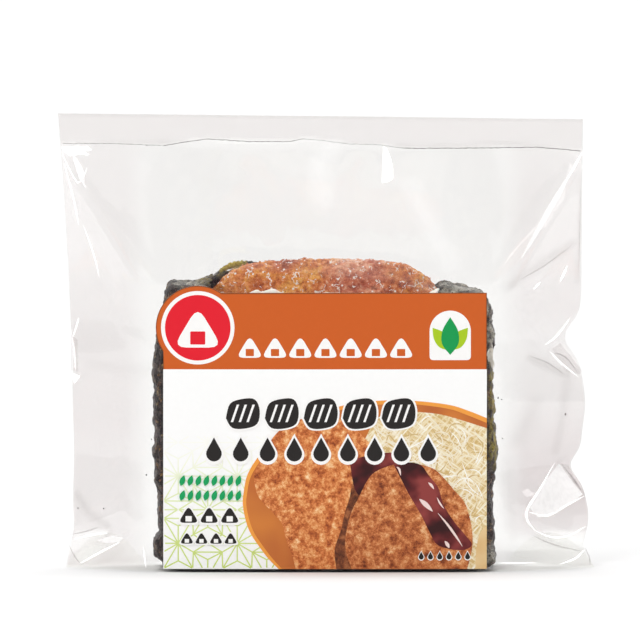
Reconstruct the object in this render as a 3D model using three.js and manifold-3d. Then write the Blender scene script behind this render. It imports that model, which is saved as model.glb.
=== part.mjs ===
// A rice sandwich wrapped in seaweed, standing in its clear sealed bag with a die-cut label on the front.
// Millimetres. +X to the right, +Y away from the viewer, +Z up. The origin is on the surface that it stands on,
// under the middle of the rice sandwich.
//
// The bag is one solid out to its film: a flat front and back over the rice sandwich, slopes out to the two side
// seams and up to the heat-sealed header, folds where the seams are pinched, and a gusset folded up under each end.
import * as THREE from "three";
import { mergeVertices } from "three/addons/utils/BufferGeometryUtils.js";
import Module from "manifold-3d";

// ---- Driving dimensions ----

// The rice sandwich inside, as far as it shapes the film: the flat that it gives the front and back of the bag.
const BLOCK = { halfWidth: 38, halfDepth: 18.5, shoulder: 66, crown: 1.0 };

// The bag. The header is the sealed strip along its top, and lean is how much lower its right end stands.
const BAG = { halfFilm: 0.35, topEdge: 103.8, header: 6.9, lean: 0.0115, bottomRound: 0.7 };

// Each side seam: its distance from the middle at its waist, how it opens out above that, and the ear at its foot.
const LEFT_SEAM = { waist: 58.0, waistHeight: 24, opening: 3.3, ear: 1.3, earHeight: 8 };
const RIGHT_SEAM = { waist: 58.9, waistHeight: 40, opening: 0.6, ear: 3.0, earHeight: 5 };
const OPENING_OVER = 80;

// Where a seam is pinched: how far in it comes there, how far back it swings, and over what height.
const LEFT_PINCHES = [
  { height: 49, inward: 0.5, back: -1.8, reach: 5 },
  { height: 27, inward: 0.2, back: 2.4, reach: 8 },
  { height: 10, inward: 0.3, back: -1.6, reach: 4 },
];
const RIGHT_PINCHES = [
  { height: 53, inward: 3.6, back: 3.6, reach: 4.5 },
  { height: 38, inward: -0.9, back: -3.0, reach: 6 },
  { height: 23.4, inward: 2.4, back: 3.4, reach: 3.2 },
  { height: 12, inward: -1.6, back: -2.2, reach: 6 },
];

// Folds in the loose film, in the plane of the front: two ends, how far the fold stands out, and its half width.
const FRONT_FOLDS = [
  { from: [-60, 93], to: [-42, 62], lift: 1.3, reach: 5 },
  { from: [-4, 97], to: [-2, 76], lift: 1.2, reach: 5 },
  { from: [13, 96], to: [16, 80], lift: 1.4, reach: 5 },
  { from: [23, 78], to: [31, 67], lift: 0.9, reach: 5 },
  { from: [59, 91], to: [41, 60], lift: 1.6, reach: 5 },
  { from: [60, 45], to: [47, 55], lift: 1.7, reach: 4 },
  { from: [54, 25], to: [46, 13], lift: 1.8, reach: 5 },
  { from: [46, 12], to: [60, 6], lift: 1.8, reach: 4 },
  { from: [-59, 8], to: [-45, 15], lift: 1.4, reach: 4 },
  { from: [-58, 2], to: [-46, 8], lift: -1.2, reach: 4 },
];
const BACK_FOLDS = [
  { from: [-59, 94], to: [-41, 62], lift: 1.5, reach: 5 },
  { from: [-18, 96], to: [-12, 74], lift: 1.3, reach: 5 },
  { from: [9, 96], to: [4, 76], lift: 1.2, reach: 5 },
  { from: [59, 93], to: [42, 61], lift: 1.5, reach: 5 },
  { from: [-58, 42], to: [-45, 50], lift: 1.4, reach: 4 },
  { from: [-58, 12], to: [-45, 20], lift: 1.5, reach: 4 },
  { from: [58, 46], to: [46, 38], lift: 1.6, reach: 4 },
  { from: [59, 10], to: [45, 18], lift: 1.6, reach: 4 },
];

// The label, die-cut from one sheet: a rectangle with a round tab at its top left corner.
const LABEL = { left: -37, right: 37, bottom: 0.6, top: 63.8, thickness: 0.25 };
const LABEL_TAB = { x: -29.1, z: 55.8, radius: 9.6 };

// The gusset under each end of the bag, from the end of the rice sandwich out to the seam.
const GUSSET = { start: 41, height: 8 };

const CLEAR_GAP = 0.3; // between the film and the label
const COLUMNS = 50;
const ROWS = 38;
const LABEL_STRIPS = 24;
const TAB_SIDES = 72;

// ---- Small helpers ----

const clamp01 = (t) => Math.min(1, Math.max(0, t));

// 1 at the middle of a bump, falling smoothly to 0 either side.
const bump = (distance, reach) => Math.exp(-((distance / reach) ** 2));

// A slope from 0 to 1 that starts level, as film leaves a rounded edge.
function easedSlope(t, round = 0.1) {
  const run = clamp01(t);
  return (Math.hypot(run, round) - round) / (Math.hypot(1, round) - round);
}

function solidMesh(name, geometry, material) {
  const mesh = new THREE.Mesh(geometry, material);
  mesh.name = name;
  return mesh;
}

// ---- The bag's outline, in the plane of its front ----

// How far a seam stands from the middle at a height, and how far back it swings there.
function seamAt(seam, pinches, height) {
  const rise = (height - seam.waistHeight) / OPENING_OVER;
  let reach = seam.waist + seam.opening * rise * rise;
  reach += seam.ear * clamp01(1 - height / seam.earHeight);
  let back = 0;
  for (const pinch of pinches) {
    const share = bump(height - pinch.height, pinch.reach);
    reach -= pinch.inward * share;
    back += pinch.back * share;
  }
  return { reach, back };
}

const sideSeam = (x, height) =>
  x < 0 ? seamAt(LEFT_SEAM, LEFT_PINCHES, height) : seamAt(RIGHT_SEAM, RIGHT_PINCHES, height);

const topEdge = (x) => BAG.topEdge - BAG.lean * x;

// The lower edge of the header, which waves a little where the film pulls on it.
const sealLine = (x) => topEdge(x) - BAG.header + 0.45 * Math.sin(x / 6.1 + 1.1) + 0.35 * Math.sin(x / 14.7 - 0.6);

// The header is not quite flat, seen from above.
const headerWave = (x) => 1.3 * Math.sin(x / 19 + 0.8) + 0.5 * Math.sin(x / 7.3);

// ---- The bag's depth ----

// The share of the way from the flat over the rice sandwich out to the seam or up to the header.
function slopes(x, z) {
  const seam = sideSeam(x, z);
  const out = (Math.abs(x) - BLOCK.halfWidth) / (seam.reach - BLOCK.halfWidth);
  const up = (z - BLOCK.shoulder) / (sealLine(x) - BLOCK.shoulder);
  return { out: easedSlope(out), up: easedSlope(up), back: seam.back };
}

function foldLift(x, z, fold) {
  const [ax, az] = fold.from;
  const [bx, bz] = fold.to;
  const length = Math.hypot(bx - ax, bz - az);
  const along = ((x - ax) * (bx - ax) + (z - az) * (bz - az)) / (length * length);
  const across = Math.abs((x - ax) * (bz - az) - (z - az) * (bx - ax)) / length;
  const taper = Math.sin(Math.PI * clamp01(along)) ** 0.6;
  return fold.lift * taper * clamp01(1 - across / fold.reach) ** 1.5;
}

// How far the film stands from the seams' own plane at a place on the front or back, and where that plane is.
function filmAt(x, z, folds) {
  const { out, up, back } = slopes(x, z);
  const both = clamp01((out ** 7 + up ** 7) ** (1 / 7));
  const flat = BLOCK.halfDepth - BLOCK.crown * (Math.min(Math.abs(x), BLOCK.halfWidth) / BLOCK.halfWidth) ** 2;
  const loose = Math.min(1, 5 * both) * clamp01(6 * (1 - both));
  const lift = folds.reduce((sum, fold) => sum + foldLift(x, z, fold), 0);
  const rounding = BAG.bottomRound * clamp01(1 - z / 1.5) * (1 - both);
  return {
    depth: BAG.halfFilm + Math.max(0, (flat - BAG.halfFilm) * (1 - both) + loose * lift - rounding),
    middle: back * out * (1 - up) + headerWave(x) * up,
  };
}

// ---- The bag's surface, as rings of points from the floor to the top edge ----

// Columns run from the left seam to the right seam, and rows from the floor to the top edge.
function gridPlace(column, row) {
  const across = (2 * column) / COLUMNS - 1;
  const rise = row / ROWS;
  let z = rise * BAG.topEdge;
  const x = across * sideSeam(across, z).reach;
  z = rise * topEdge(x);
  return { x: across * sideSeam(across, z).reach, z };
}

function filmPoint(column, row, side) {
  const { x, z } = gridPlace(column, row);
  const film = filmAt(x, z, side < 0 ? FRONT_FOLDS : BACK_FOLDS);
  return new THREE.Vector3(x, film.middle + side * film.depth, z);
}

// A point on the line that halves the bag's edge: along its seams, its top edge and its gusseted foot.
function edgePoint(column, row) {
  const { x, z } = gridPlace(column, row);
  const middle = filmAt(x, z, FRONT_FOLDS).middle;
  if (row > 0) return new THREE.Vector3(x, middle, z);
  const along = clamp01((Math.abs(x) - GUSSET.start) / (sideSeam(x, 0).reach - GUSSET.start));
  return new THREE.Vector3(x, middle, GUSSET.height * 4 * along * (1 - along));
}

function bagGeometry() {
  const corners = [];
  const quad = (a, b, c, d) => corners.push(a, b, c, a, c, d);
  for (let row = 0; row < ROWS; row++)
    for (let column = 0; column < COLUMNS; column++) {
      const [left, right, low, high] = [column, column + 1, row, row + 1];
      quad(filmPoint(left, low, -1), filmPoint(right, low, -1), filmPoint(right, high, -1), filmPoint(left, high, -1));
      quad(filmPoint(right, low, 1), filmPoint(left, low, 1), filmPoint(left, high, 1), filmPoint(right, high, 1));
    }
  for (let row = 0; row < ROWS; row++)
    for (const [column, front, back] of [[COLUMNS, -1, 1], [0, 1, -1]])
      for (const [from, to] of [[front, 0], [0, back]]) {
        const place = (side, height) => (side ? filmPoint(column, height, side) : edgePoint(column, height));
        quad(place(from, row), place(to, row), place(to, row + 1), place(from, row + 1));
      }
  for (let column = 0; column < COLUMNS; column++)
    for (const [row, front, back] of [[0, 1, -1], [ROWS, -1, 1]])
      for (const [from, to] of [[front, 0], [0, back]]) {
        const place = (side, at) => (side ? filmPoint(at, row, side) : edgePoint(at, row));
        quad(place(from, column), place(from, column + 1), place(to, column + 1), place(to, column));
      }
  return mergeVertices(new THREE.BufferGeometry().setFromPoints(corners), 1e-4);
}

// ---- The label ----

// The label follows the front of the bag, which is crowned across and straight up and down.
const labelFace = (x, offset) => -(BLOCK.halfDepth - BLOCK.crown * (x / BLOCK.halfWidth) ** 2) - offset;

// A curved slab of the label's thickness, wider and taller than the label.
function labelSlab() {
  const [left, right] = [LABEL_TAB.x - LABEL_TAB.radius - 1, LABEL.right + 1];
  const stations = Array.from({ length: LABEL_STRIPS + 1 }, (_, i) => left + ((right - left) * i) / LABEL_STRIPS);
  const section = new THREE.Shape();
  const back = stations.map((x) => new THREE.Vector2(x, labelFace(x, CLEAR_GAP)));
  const front = stations.map((x) => new THREE.Vector2(x, labelFace(x, CLEAR_GAP + LABEL.thickness)));
  section.setFromPoints([...front, ...back.reverse()]);
  const height = LABEL.top + LABEL_TAB.radius;
  return new THREE.ExtrudeGeometry(section, { depth: height, bevelEnabled: false });
}

// Prisms through the label, square to its face, of its rectangle and of its round tab.
function throughLabel(shape) {
  const depth = 2 * BLOCK.halfDepth;
  const prism = new THREE.ExtrudeGeometry(shape, { depth, bevelEnabled: false, curveSegments: TAB_SIDES / 2 });
  return prism.rotateX(Math.PI / 2);
}

function labelRectangle() {
  const outline = new THREE.Shape();
  outline.moveTo(LABEL.left, LABEL.bottom);
  outline.lineTo(LABEL.right, LABEL.bottom);
  outline.lineTo(LABEL.right, LABEL.top);
  outline.lineTo(LABEL.left, LABEL.top);
  return throughLabel(outline);
}

const labelTab = () => throughLabel(new THREE.Shape().absarc(LABEL_TAB.x, LABEL_TAB.z, LABEL_TAB.radius, 0, 2 * Math.PI));

// ---- Joining and cutting with manifold-3d ----

const manifold = await Module();
manifold.setup();

function toSolid(geometry) {
  geometry.deleteAttribute("normal");
  geometry.deleteAttribute("uv");
  const merged = mergeVertices(geometry, 1e-4);
  const vertProperties = merged.attributes.position.array;
  return new manifold.Manifold(
    new manifold.Mesh({ numProp: 3, vertProperties, triVerts: new Uint32Array(merged.index.array) }),
  );
}

function toGeometry(solid) {
  const { vertProperties, triVerts } = solid.getMesh();
  return new THREE.BufferGeometry()
    .setAttribute("position", new THREE.BufferAttribute(vertProperties, 3))
    .setIndex(new THREE.BufferAttribute(triVerts, 1));
}

function labelGeometry() {
  const outline = toSolid(labelRectangle()).add(toSolid(labelTab()));
  return toGeometry(toSolid(labelSlab()).intersect(outline));
}

// ---- Materials and the finished part ----

const clearFilm = new THREE.MeshStandardMaterial({
  color: 0xefebea,
  roughness: 0.12,
  metalness: 0,
  transparent: true,
  opacity: 0.5,
});
const printedPaper = new THREE.MeshStandardMaterial({ color: 0xf6f3ee, roughness: 0.45, metalness: 0 });

const pack = new THREE.Group();
pack.add(solidMesh("bag", bagGeometry(), clearFilm));
pack.add(solidMesh("label", labelGeometry(), printedPaper));

export default pack;
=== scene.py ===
"""A rice sandwich wrapped in seaweed, standing in its clear sealed bag with a die-cut label on the front.

Sizes are written in millimetres and turned to metres where a mesh is made. +X is to the right, +Y away from
the viewer, +Z up, and the origin is on the floor under the middle of the rice sandwich.
"""

import math
import random

import bpy
from mathutils import Euler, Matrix, Vector, geometry, noise
from mathutils.bvhtree import BVHTree


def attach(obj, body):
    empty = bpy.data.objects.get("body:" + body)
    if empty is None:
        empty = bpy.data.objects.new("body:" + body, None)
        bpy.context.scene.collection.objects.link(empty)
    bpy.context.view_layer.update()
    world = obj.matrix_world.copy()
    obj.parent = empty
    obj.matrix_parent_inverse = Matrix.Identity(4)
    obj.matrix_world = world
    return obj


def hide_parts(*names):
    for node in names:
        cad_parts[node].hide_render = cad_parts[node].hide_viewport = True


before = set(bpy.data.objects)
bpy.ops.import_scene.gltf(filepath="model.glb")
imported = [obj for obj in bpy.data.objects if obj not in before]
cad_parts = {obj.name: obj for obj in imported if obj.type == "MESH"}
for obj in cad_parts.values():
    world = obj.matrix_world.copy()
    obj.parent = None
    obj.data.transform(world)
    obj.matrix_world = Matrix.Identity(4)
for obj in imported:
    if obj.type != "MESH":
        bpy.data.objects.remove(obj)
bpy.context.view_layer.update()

MM = 0.001

# ---------------------------------------------------------------- sizes, in millimetres

# The bag, with the same surface as the solid that it stands for.
BLOCK_HALF_WIDTH, BLOCK_HALF_DEPTH, BLOCK_SHOULDER, BLOCK_CROWN = 38, 18.5, 66, 1.0
HALF_FILM, TOP_EDGE, HEADER, TOP_LEAN, BOTTOM_ROUND = 0.35, 103.8, 6.9, 0.0115, 0.7
LEFT_SEAM = {"waist": 58.0, "waist_height": 24, "opening": 3.3, "ear": 1.3, "ear_height": 8}
RIGHT_SEAM = {"waist": 58.9, "waist_height": 40, "opening": 0.6, "ear": 3.0, "ear_height": 5}
SEAM_OPENING_OVER = 80
# Pinches in the side seams: height, how far the edge goes inward and to the back, and reach.
LEFT_PINCHES = [(49, 0.5, -1.8, 5), (27, 0.2, 2.4, 8), (10, 0.3, -1.6, 4)]
RIGHT_PINCHES = [(53, 3.6, 3.6, 4.5), (38, -0.9, -3.0, 6), (23.4, 2.4, 3.4, 3.2), (12, -1.6, -2.2, 6)]
# Large folds in the film: where each starts and ends (x, z), how far it stands out, and reach.
FRONT_FOLDS = [
    ((-60, 93), (-42, 62), 1.3, 5), ((-4, 97), (-2, 76), 1.2, 5), ((13, 96), (16, 80), 1.4, 5),
    ((23, 78), (31, 67), 0.9, 5), ((59, 91), (41, 60), 1.6, 5), ((60, 45), (47, 55), 1.7, 4),
    ((54, 25), (46, 13), 1.8, 5), ((46, 12), (60, 6), 1.8, 4), ((-59, 8), (-45, 15), 1.4, 4),
    ((-58, 2), (-46, 8), -1.2, 4),
]
BACK_FOLDS = [
    ((-59, 94), (-41, 62), 1.5, 5), ((-18, 96), (-12, 74), 1.3, 5), ((9, 96), (4, 76), 1.2, 5),
    ((59, 93), (42, 61), 1.5, 5), ((-58, 42), (-45, 50), 1.4, 4), ((-58, 12), (-45, 20), 1.5, 4),
    ((58, 46), (46, 38), 1.6, 4), ((59, 10), (45, 18), 1.6, 4),
]
GUSSET_START, GUSSET_HEIGHT = 41, 8
# The heat seal's lower edge: (x, height), and how strong its line is.
SEAL_RADIUS = 0.085
SEAL_EDGE = [(-61, 97.6), (-49.5, 97.6), (-36.8, 97.1), (-32.2, 97.9), (-27.1, 98.6), (-17.3, 98.0),
             (-8, 98.0), (-5.1, 98.6), (-1.2, 98.3), (5.8, 97.4), (12.7, 97.2), (17.3, 96.5), (20.7, 96.4),
             (33.4, 96.5), (48.3, 96.7), (54, 96.3), (60, 95.7)]
SEAL_STRENGTH = [(-61, 0.7), (-38, 0.8), (-36, 1.1), (-7, 1.0), (-4, 0.55), (16, 0.55), (19, 1.3), (60, 1.2)]
SEAL_POINTS = 320
FILM_COLUMNS, FILM_ROWS = 170, 144
# The film's haze: everywhere, in the header, how wide a strip it rises over at the wings. The header's shade.
FILM_HAZE, HEADER_HAZE, WING_EASE, HEADER_SHADE = 0.12, 0.3, 8, 0.055
# How hazy the side wings are: (height, share), left and right. The haze is partly painted shade: it darkens
# and warms the wings for the darker studio that they mirror.
WING_HAZE_AND_SHADE_LEFT = [(0, 0.42), (12, 0.48), (26, 0.5), (34, 0.58), (45, 0.52), (58, 0.42), (72, 0.34),
                  (98, 0.28)]
WING_HAZE_AND_SHADE_RIGHT = [(0, 0.0), (6, 0.05), (9, 0.6), (14, 0.85), (24, 0.88), (30, 0.7), (38, 0.44), (50, 0.34),
                   (60, 0.46), (72, 0.38), (98, 0.28)]
# Soft marks in the front sheet: points along each (x, z), half its width, strength. Sheens are pale, painted
# light; shades are grey, painted shade.
SHEENS = [
    ([(1.9, 97.2), (-0.9, 94), (-1.5, 89), (-0.5, 85)], 2.6, 0.2),
    ([(20, 87), (24.9, 77.7), (28.8, 70.8)], 2.4, 0.17),
    ([(59.2, 94.6), (55, 88), (51.8, 83.1), (47.2, 75.4), (42.6, 68.5)], 1.5, 0.12),
    ([(-60.2, 94.6), (-58.5, 88), (-57.1, 80.8)], 0.8, 0.22),
    ([(-53, 76), (-49.5, 69), (-48.5, 64)], 2.0, 0.15),
    ([(44.5, 61), (47.5, 56), (50.6, 51.5)], 1.4, 0.2),
    ([(54, 71), (50, 66), (46, 64)], 1.2, 0.2),
    ([(-57.5, 7.4), (-52, 9.2)], 0.7, 0.2),
    ([(-56, 2.5), (-50, 5.5), (-45, 8.2)], 0.8, 0.2),
    ([(46.5, 60), (44, 54), (44, 48)], 3.0, 0.1),
]
SHADES = [
    ([(57.1, 74.6), (50, 70.5), (42.6, 65.4)], 1.1, 0.15), ([(59.6, 90), (58.6, 78), (58, 66)], 0.9, 0.1),
    ([(-54, 47.5), (-47, 46), (-41, 46)], 1.6, 0.05),
    ([(-57.5, 17), (-54, 12.5), (-50, 10)], 1.0, 0.16), ([(47, 48.6), (51, 46.6), (55.5, 44.4)], 0.9, 0.2),
    ([(55.5, 43), (54.5, 35), (53, 27)], 1.2, 0.12), ([(44, 30), (46.5, 34), (48, 38)], 2.0, 0.1),
    ([(41.5, 25), (42.5, 15), (43, 8)], 1.4, 0.06), ([(54.5, 24), (57.5, 19), (59, 17.4)], 1.3, 0.18),
    ([(47.8, 7.8), (53, 5.6), (59.5, 4)], 0.8, 0.1), ([(-30, 92), (-20, 88)], 4.0, 0.02),
    ([(49, 90), (44, 82)], 3.0, 0.03), ([(36, 92), (40, 80)], 6.0, 0.02),
]
# Sharp creases in the front sheet: points along each (x, z) and its width. White is a painted highlight,
# grey painted shade. They lie this far above the film, so that the ridges of its folds don't come through.
CREASE_LOW, CREASE_HIGH, CREASE_STEP = 0.22, 0.27, 1.0
PAINTED_HIGHLIGHT_CREASES = [
    ([(-60.3, 95), (-56.8, 88.6), (-54.6, 92.1)], 0.2), ([(-60, 93), (-58, 86), (-56.6, 79)], 0.25),
    ([(-55.5, 79), (-53, 72), (-51.8, 67)], 0.16), ([(59.1, 95.6), (57.4, 92.4), (55, 88.4)], 0.5),
    ([(50.6, 51.5), (53.5, 53.5), (56.4, 57.5)], 0.42), ([(51.6, 49.9), (54.5, 47), (58.2, 44)], 0.34),
    ([(52.8, 24.2), (49, 18.2), (46.4, 14.2), (46.4, 11.4), (48.4, 8.9)], 0.5),
    ([(46.8, 13.4), (51, 12.4), (55.5, 14.6), (59.6, 16.5)], 0.5),
    ([(48.4, 8.9), (52, 7.4), (56, 7.6), (60, 9.6)], 0.42), ([(59.7, 4.1), (57.5, 2.2), (54, 1.1)], 0.4),
    ([(-56.4, 1), (-52, 3.6), (-47, 6.4)], 0.36), ([(-57.6, 6.6), (-53.5, 7.8), (-50, 8.3)], 0.4),
    ([(-41.6, 5.4), (-41.3, 3), (-41, 0.8)], 0.3), ([(-58, 53), (-57.2, 55.5), (-56.6, 57.5)], 0.3),
    ([(47.8, 64.4), (49.4, 66)], 0.4), ([(54, 66), (55.6, 69.4)], 0.6),
    ([(-58.2, 53.4), (-57.6, 49.6), (-57.4, 45.4)], 0.3), ([(39.6, 1.9), (44, 1.8), (48.7, 1.6)], 0.25),
]
# A broad pale crease, painted soft light.
PAINTED_PALE_CREASES = [([(58, 93.6), (54.6, 87.8), (51.6, 82.8), (48, 76.6), (45, 71.6)], 1.2)]
PAINTED_SHADE_CREASES = [
    ([(-58.7, 7.6), (-55, 8.5), (-52, 9.6)], 0.35), ([(-59, 5.4), (-57.6, 2.6), (-56, 0.8)], 0.3),
    ([(52.2, 49.6), (55.2, 48.6), (58, 45)], 0.35), ([(47, 49), (51, 47.4), (55, 44.6)], 0.25),
    ([(48, 7.7), (53, 5.4), (59, 3.8)], 0.35), ([(54.2, 24), (57, 20.6), (59, 17.6)], 0.3),
    ([(59.8, 4.6), (60.8, 2.4), (61, 0.8)], 0.35), ([(56.5, 74), (50.5, 69.8), (44.5, 66.6)], 0.3),
    ([(58.7, 88), (58.6, 78), (58.3, 68)], 0.2),
]
# Small facets of the front sheet: closed outlines (x, z), painted as a lamp's reflection, as paler light and
# as shade.
PAINTED_HIGHLIGHT_FACETS = [
    [(13.4, 96.9), (14.2, 96.4), (15.1, 94.2), (15.6, 91.9), (15.6, 89.6), (14.5, 88.9), (13.1, 88.7),
     (13.2, 92)],
    [(-60.4, 96.9), (-58.6, 96.8), (-54.6, 97), (-53.6, 96.2), (-55.4, 95.8), (-54.2, 95), (-56.4, 95.2),
     (-58.6, 94.7), (-60.2, 95.9)],
    [(-58.3, 44.8), (-56.3, 44.2), (-57.6, 42.4)],
]
PAINTED_PALE_FACETS = [
    [(53.8, 24), (50.1, 19.7), (46.5, 14.8), (48.8, 12.1), (52.9, 12.8), (59.3, 16.9), (57, 19.7)],
    [(-52.4, 6.5), (-48.8, 7.8), (-46, 7.4), (-47.4, 6.3), (-50.2, 6.0)],
]
PAINTED_SHADE_FACETS = [
    [(52.2, 50.5), (54.1, 51.6), (59.1, 45.4), (58.7, 44.5), (55.4, 45.2)],
    [(-58.4, 53.6), (-56.8, 52.4), (-56.8, 45.2), (-58.4, 45.4)],
    [(54.3, 23.9), (56, 23.5), (57.2, 21.2), (58.4, 19), (59, 17.5), (57.2, 19.9)],
]
# Specks of seaweed and crumb loose in the bag: (x, z, size).
SPECKS = [(55.2, 35.5, 0.35), (39.6, 39.7, 0.3), (40.4, 39.3, 0.22), (-40.9, 22, 0.24), (-50.8, 13.9, 0.22),
          (-56.8, 13.7, 0.2), (-39.7, 30.2, 0.2), (40.6, 30.4, 0.2)]

# The label.
LABEL_LEFT, LABEL_RIGHT, LABEL_BOTTOM, LABEL_TOP, LABEL_THICKNESS = -37, 37, 0.6, 63.8, 0.25
TAB_X, TAB_Z, TAB_RADIUS = -29.1, 55.8, 9.6
PRINT_STEP, PRINT_ROUGHNESS, PRINT_GLOSS = 0.025, 0.32, 0.25
HEADER_BOTTOM, HEADER_EDGE_SHADE, BADGE_RADIUS, BADGE_RING = 46.3, 0.2, 8.4, 0.9
TILE_X, TILE_HALF, TILE_BOTTOM, TILE_ARCH, TILE_ROUND = 28.62, 4.72, 48.4, 55.0, 0.9
# The hemp-leaf pattern: how far its stars are apart, the first one's place, a star's reach, lines and ends.
HEMP_LEAF_ACROSS, HEMP_LEAF_UP, HEMP_LEAF_LEFT, HEMP_LEAF_MIDDLE = 6.75, 7.7, -33.58, 14.15
HEMP_LEAF_TIP, HEMP_LEAF_NOTCH, HEMP_LEAF_LINE, HEMP_LEAF_RIGHT, HEMP_LEAF_TOP = 6.59, 3.99, 0.3, -8, 31

# The printed cabbage: its upper edge (x, z). Its shreds: name, colour, layer, count, width, reach over it.
CABBAGE_TOP = [(9, 30), (12, 35.2), (17, 36.6), (23, 36.4), (28, 35.6), (37, 32.8)]
CABBAGE_SHREDS = [("deep", "#d0b278", 4.5, 70, 0.3, -0.6), ("light", "#f3e9d2", 5, 150, 0.26, 0.4),
                  ("white", "#fffdf6", 5.5, 60, 0.24, 1.4)]

# The seaweed wrap, as it is before it is crinkled. The outlines are (height, how far out) at its two ends.
WRAP_HALF_WIDTH, WRAP_HALF_DEPTH, WRAP_ROUND, WRAP_STOCK_HEIGHT = 39.4, 16.6, 4.5, 66
WRAP_LEFT = [(0.3, 36.8), (2.3, 38.3), (3.6, 39.6), (6.5, 39.8), (7.7, 39.3), (8.3, 38.3), (13, 38.9),
             (17.3, 38.6), (20.8, 39.8), (22.5, 39.2), (26.6, 40.0), (30.8, 39.3), (36, 39.9), (42.2, 39.5),
             (44.3, 40), (49.8, 39.4), (54.4, 39), (58, 38.3), (62.2, 37.6), (64.5, 37.0), (66, 36.4)]
WRAP_RIGHT = [(0.3, 37.5), (1.4, 39.5), (2.3, 39.8), (5.2, 39), (10, 39.3), (16, 38.7), (18.9, 38.8),
              (23.4, 39.6), (28.2, 39.8), (32.7, 39.6), (34, 39), (38.7, 39.4), (41.3, 38.6), (45.6, 38.9),
              (48.1, 38.4), (50.8, 39.5), (52.1, 39.3), (55.5, 39.2), (58.5, 38.4), (61, 39.0), (63, 38.4),
              (66, 36.8)]
# The wrap's top: (x, height). It folds in over the rice at both ends and stands up behind the cutlet.
WRAP_TOP = [(-40, 63.5), (-36.8, 65.2), (-35, 66.1), (-30.3, 65.8), (-28, 66.6), (-24.7, 67.5), (-21.9, 68.9),
            (-19.4, 69.5), (-12.7, 69.3), (0, 68.2), (15, 67), (24, 64.4), (25.6, 65.2), (27.6, 65.9),
            (31.5, 64.7), (36, 63.7), (40, 62)]
# The open mouth between the folds, where the cutlet shows: left, right and back, and the front wall's edge.
MOUTH_LEFT, MOUTH_RIGHT, MOUTH_BACK, WRAP_FRONT_EDGE = -25.5, 25.5, 12.5, 62.4
WRAP_VOXEL, WRAP_FOLD_START, WRAP_SHEET, WRAP_CLEARANCE = 0.7, 52, 0.25, 0.45
# Wet spots take a painted pale sheen, thin ones the painted yellow of light shining through.
# Wet and thin spots of the wrap: where each rises from nothing to full, as (axis, from, to).
WRAP_SPOTS = {
    "left_fold": [("z", 62.5, 64.5), ("x", -26.5, -28.5), ("x", -36, -34)],
    "right_fold": [("z", 62, 64), ("x", 24, 26)], "corner": [("x", 34, 37), ("z", 48.5, 51)],
    "corner_top": [("z", 58, 62)], "foot": [("x", 36, 37)],
    "inner_edge": [("z", 65.4, 66.6), ("x", -21, -24), ("x", -30.5, -29)],
    "right_end": [("x", 37, 38.5), ("z", 50, 47), ("z", 22, 28)],
    "crest": [("z", 68.2, 68.7), ("x", -25.5, -24), ("x", -15.5, -17.5)],
}
# The sheet's thin edge behind the cutlet's left end: points along it (x, z), its width, how far back it lies.
SEAWEED_LIP = [(-26.6, 65.8), (-24.2, 67.6), (-22.2, 68.8), (-20.2, 69.3), (-18, 69.5), (-16, 69.4),
               (-13, 69.2)]
SEAWEED_LIP_WIDTH, SEAWEED_LIP_Y = 1.3, 13.2
# The hole torn in the right end: its middle (y, z) and half its size.
TEAR_Y, TEAR_Z, TEAR_HALF_WIDTH, TEAR_HALF_HEIGHT = -6.0, 50.4, 8.5, 2.8
TEAR_GRAINS_X = 37.1

# The rice and the filling.
RICE_HALF_WIDTH, RICE_INNER, RICE_OUTER, RICE_FRONT_TOP, RICE_BACK_TOP = 36, 6.4, 15.2, 61.0, 62.6
RICE_FOOT, RICE_LOW, RICE_STOCK_TOP, RICE_VOXEL = 2, 55, 62, 1.2
GRAIN_HALF_SIZE, GRAIN_SIZES = (2.45, 1.12, 1.0), (0.86, 1.12)
CUTLET_MIDDLE_X, CUTLET_MIDDLE_Z = 0.0, 38.0
CUTLET_HALF_WIDTH, CUTLET_HALF_HEIGHT, CUTLET_HALF_THICK, CUTLET_SQUARENESS = 30.7, 33.5, 6.4, 3.7
CRUMB_COUNT, CRUMB_SIZES = 500, (0.16, 0.4)
# Beads of mayonnaise: points along each (x, y, z, radius).
MAYONNAISE_VOXEL = 0.35
MAYONNAISE_RUNS = [
    [(-24, -6.5, 60.4, 0.8), (-18.2, -7.5, 61.2, 0.9), (-15.9, -7.7, 63.1, 1.1), (-14.9, -7.7, 62.7, 1.0),
     (-12.6, -7.7, 63.2, 1.2), (-10.4, -7.6, 62.6, 1.1), (-8, -7.6, 62.0, 1.0), (-5, -7.6, 61.2, 0.9),
     (0.5, -7.6, 62.7, 0.9), (6, -7.4, 61.4, 1.0), (14, -7.5, 61.8, 1.1), (20, -7.2, 61.6, 1.0)],
    [(23, -6.0, 61.0, 1.1), (25.6, -5.2, 63.0, 1.3), (26.9, -3.0, 62.6, 1.1)],
]

# The studio. Suns: name, energy, spread, tilt and turn in degrees. Softboxes: name, place and size in metres,
# energy.
STUDIO_FRONT, STUDIO_BACK, STUDIO_LOW = 0.52, 1.0, 0.7
SUNS = [("overhead_light", 0.9, 30, -15, 0), ("front_light", 0.86, 8, 46, -14)]
SOFTBOXES = [("left_softbox", (-0.85, -0.5, 0.7), 0.35, 1.2), ("right_softbox", (0.9, -0.5, 0.6), 0.30, 0.45)]


def clamp01(value):
    return min(1.0, max(0.0, value))


def bump(distance, reach):
    """A smooth bump: 1 at distance 0, falling to 0 over a few reaches."""
    return math.exp(-((distance / reach) ** 2))


def eased_slope(t, rounding=0.1):
    """0 up to the corner, then a straight run up to 1 at t = 1, with the corner rounded."""
    run = clamp01(t)
    return (math.hypot(run, rounding) - rounding) / (math.hypot(1, rounding) - rounding)


def through(points, at):
    """The straight-line run through (place, value) points."""
    for (a, low), (b, high) in zip(points, points[1:]):
        if at <= b:
            return low + (high - low) * clamp01((at - a) / (b - a))
    return points[-1][1]


# ---------------------------------------------------------------- the bag's surface

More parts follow.
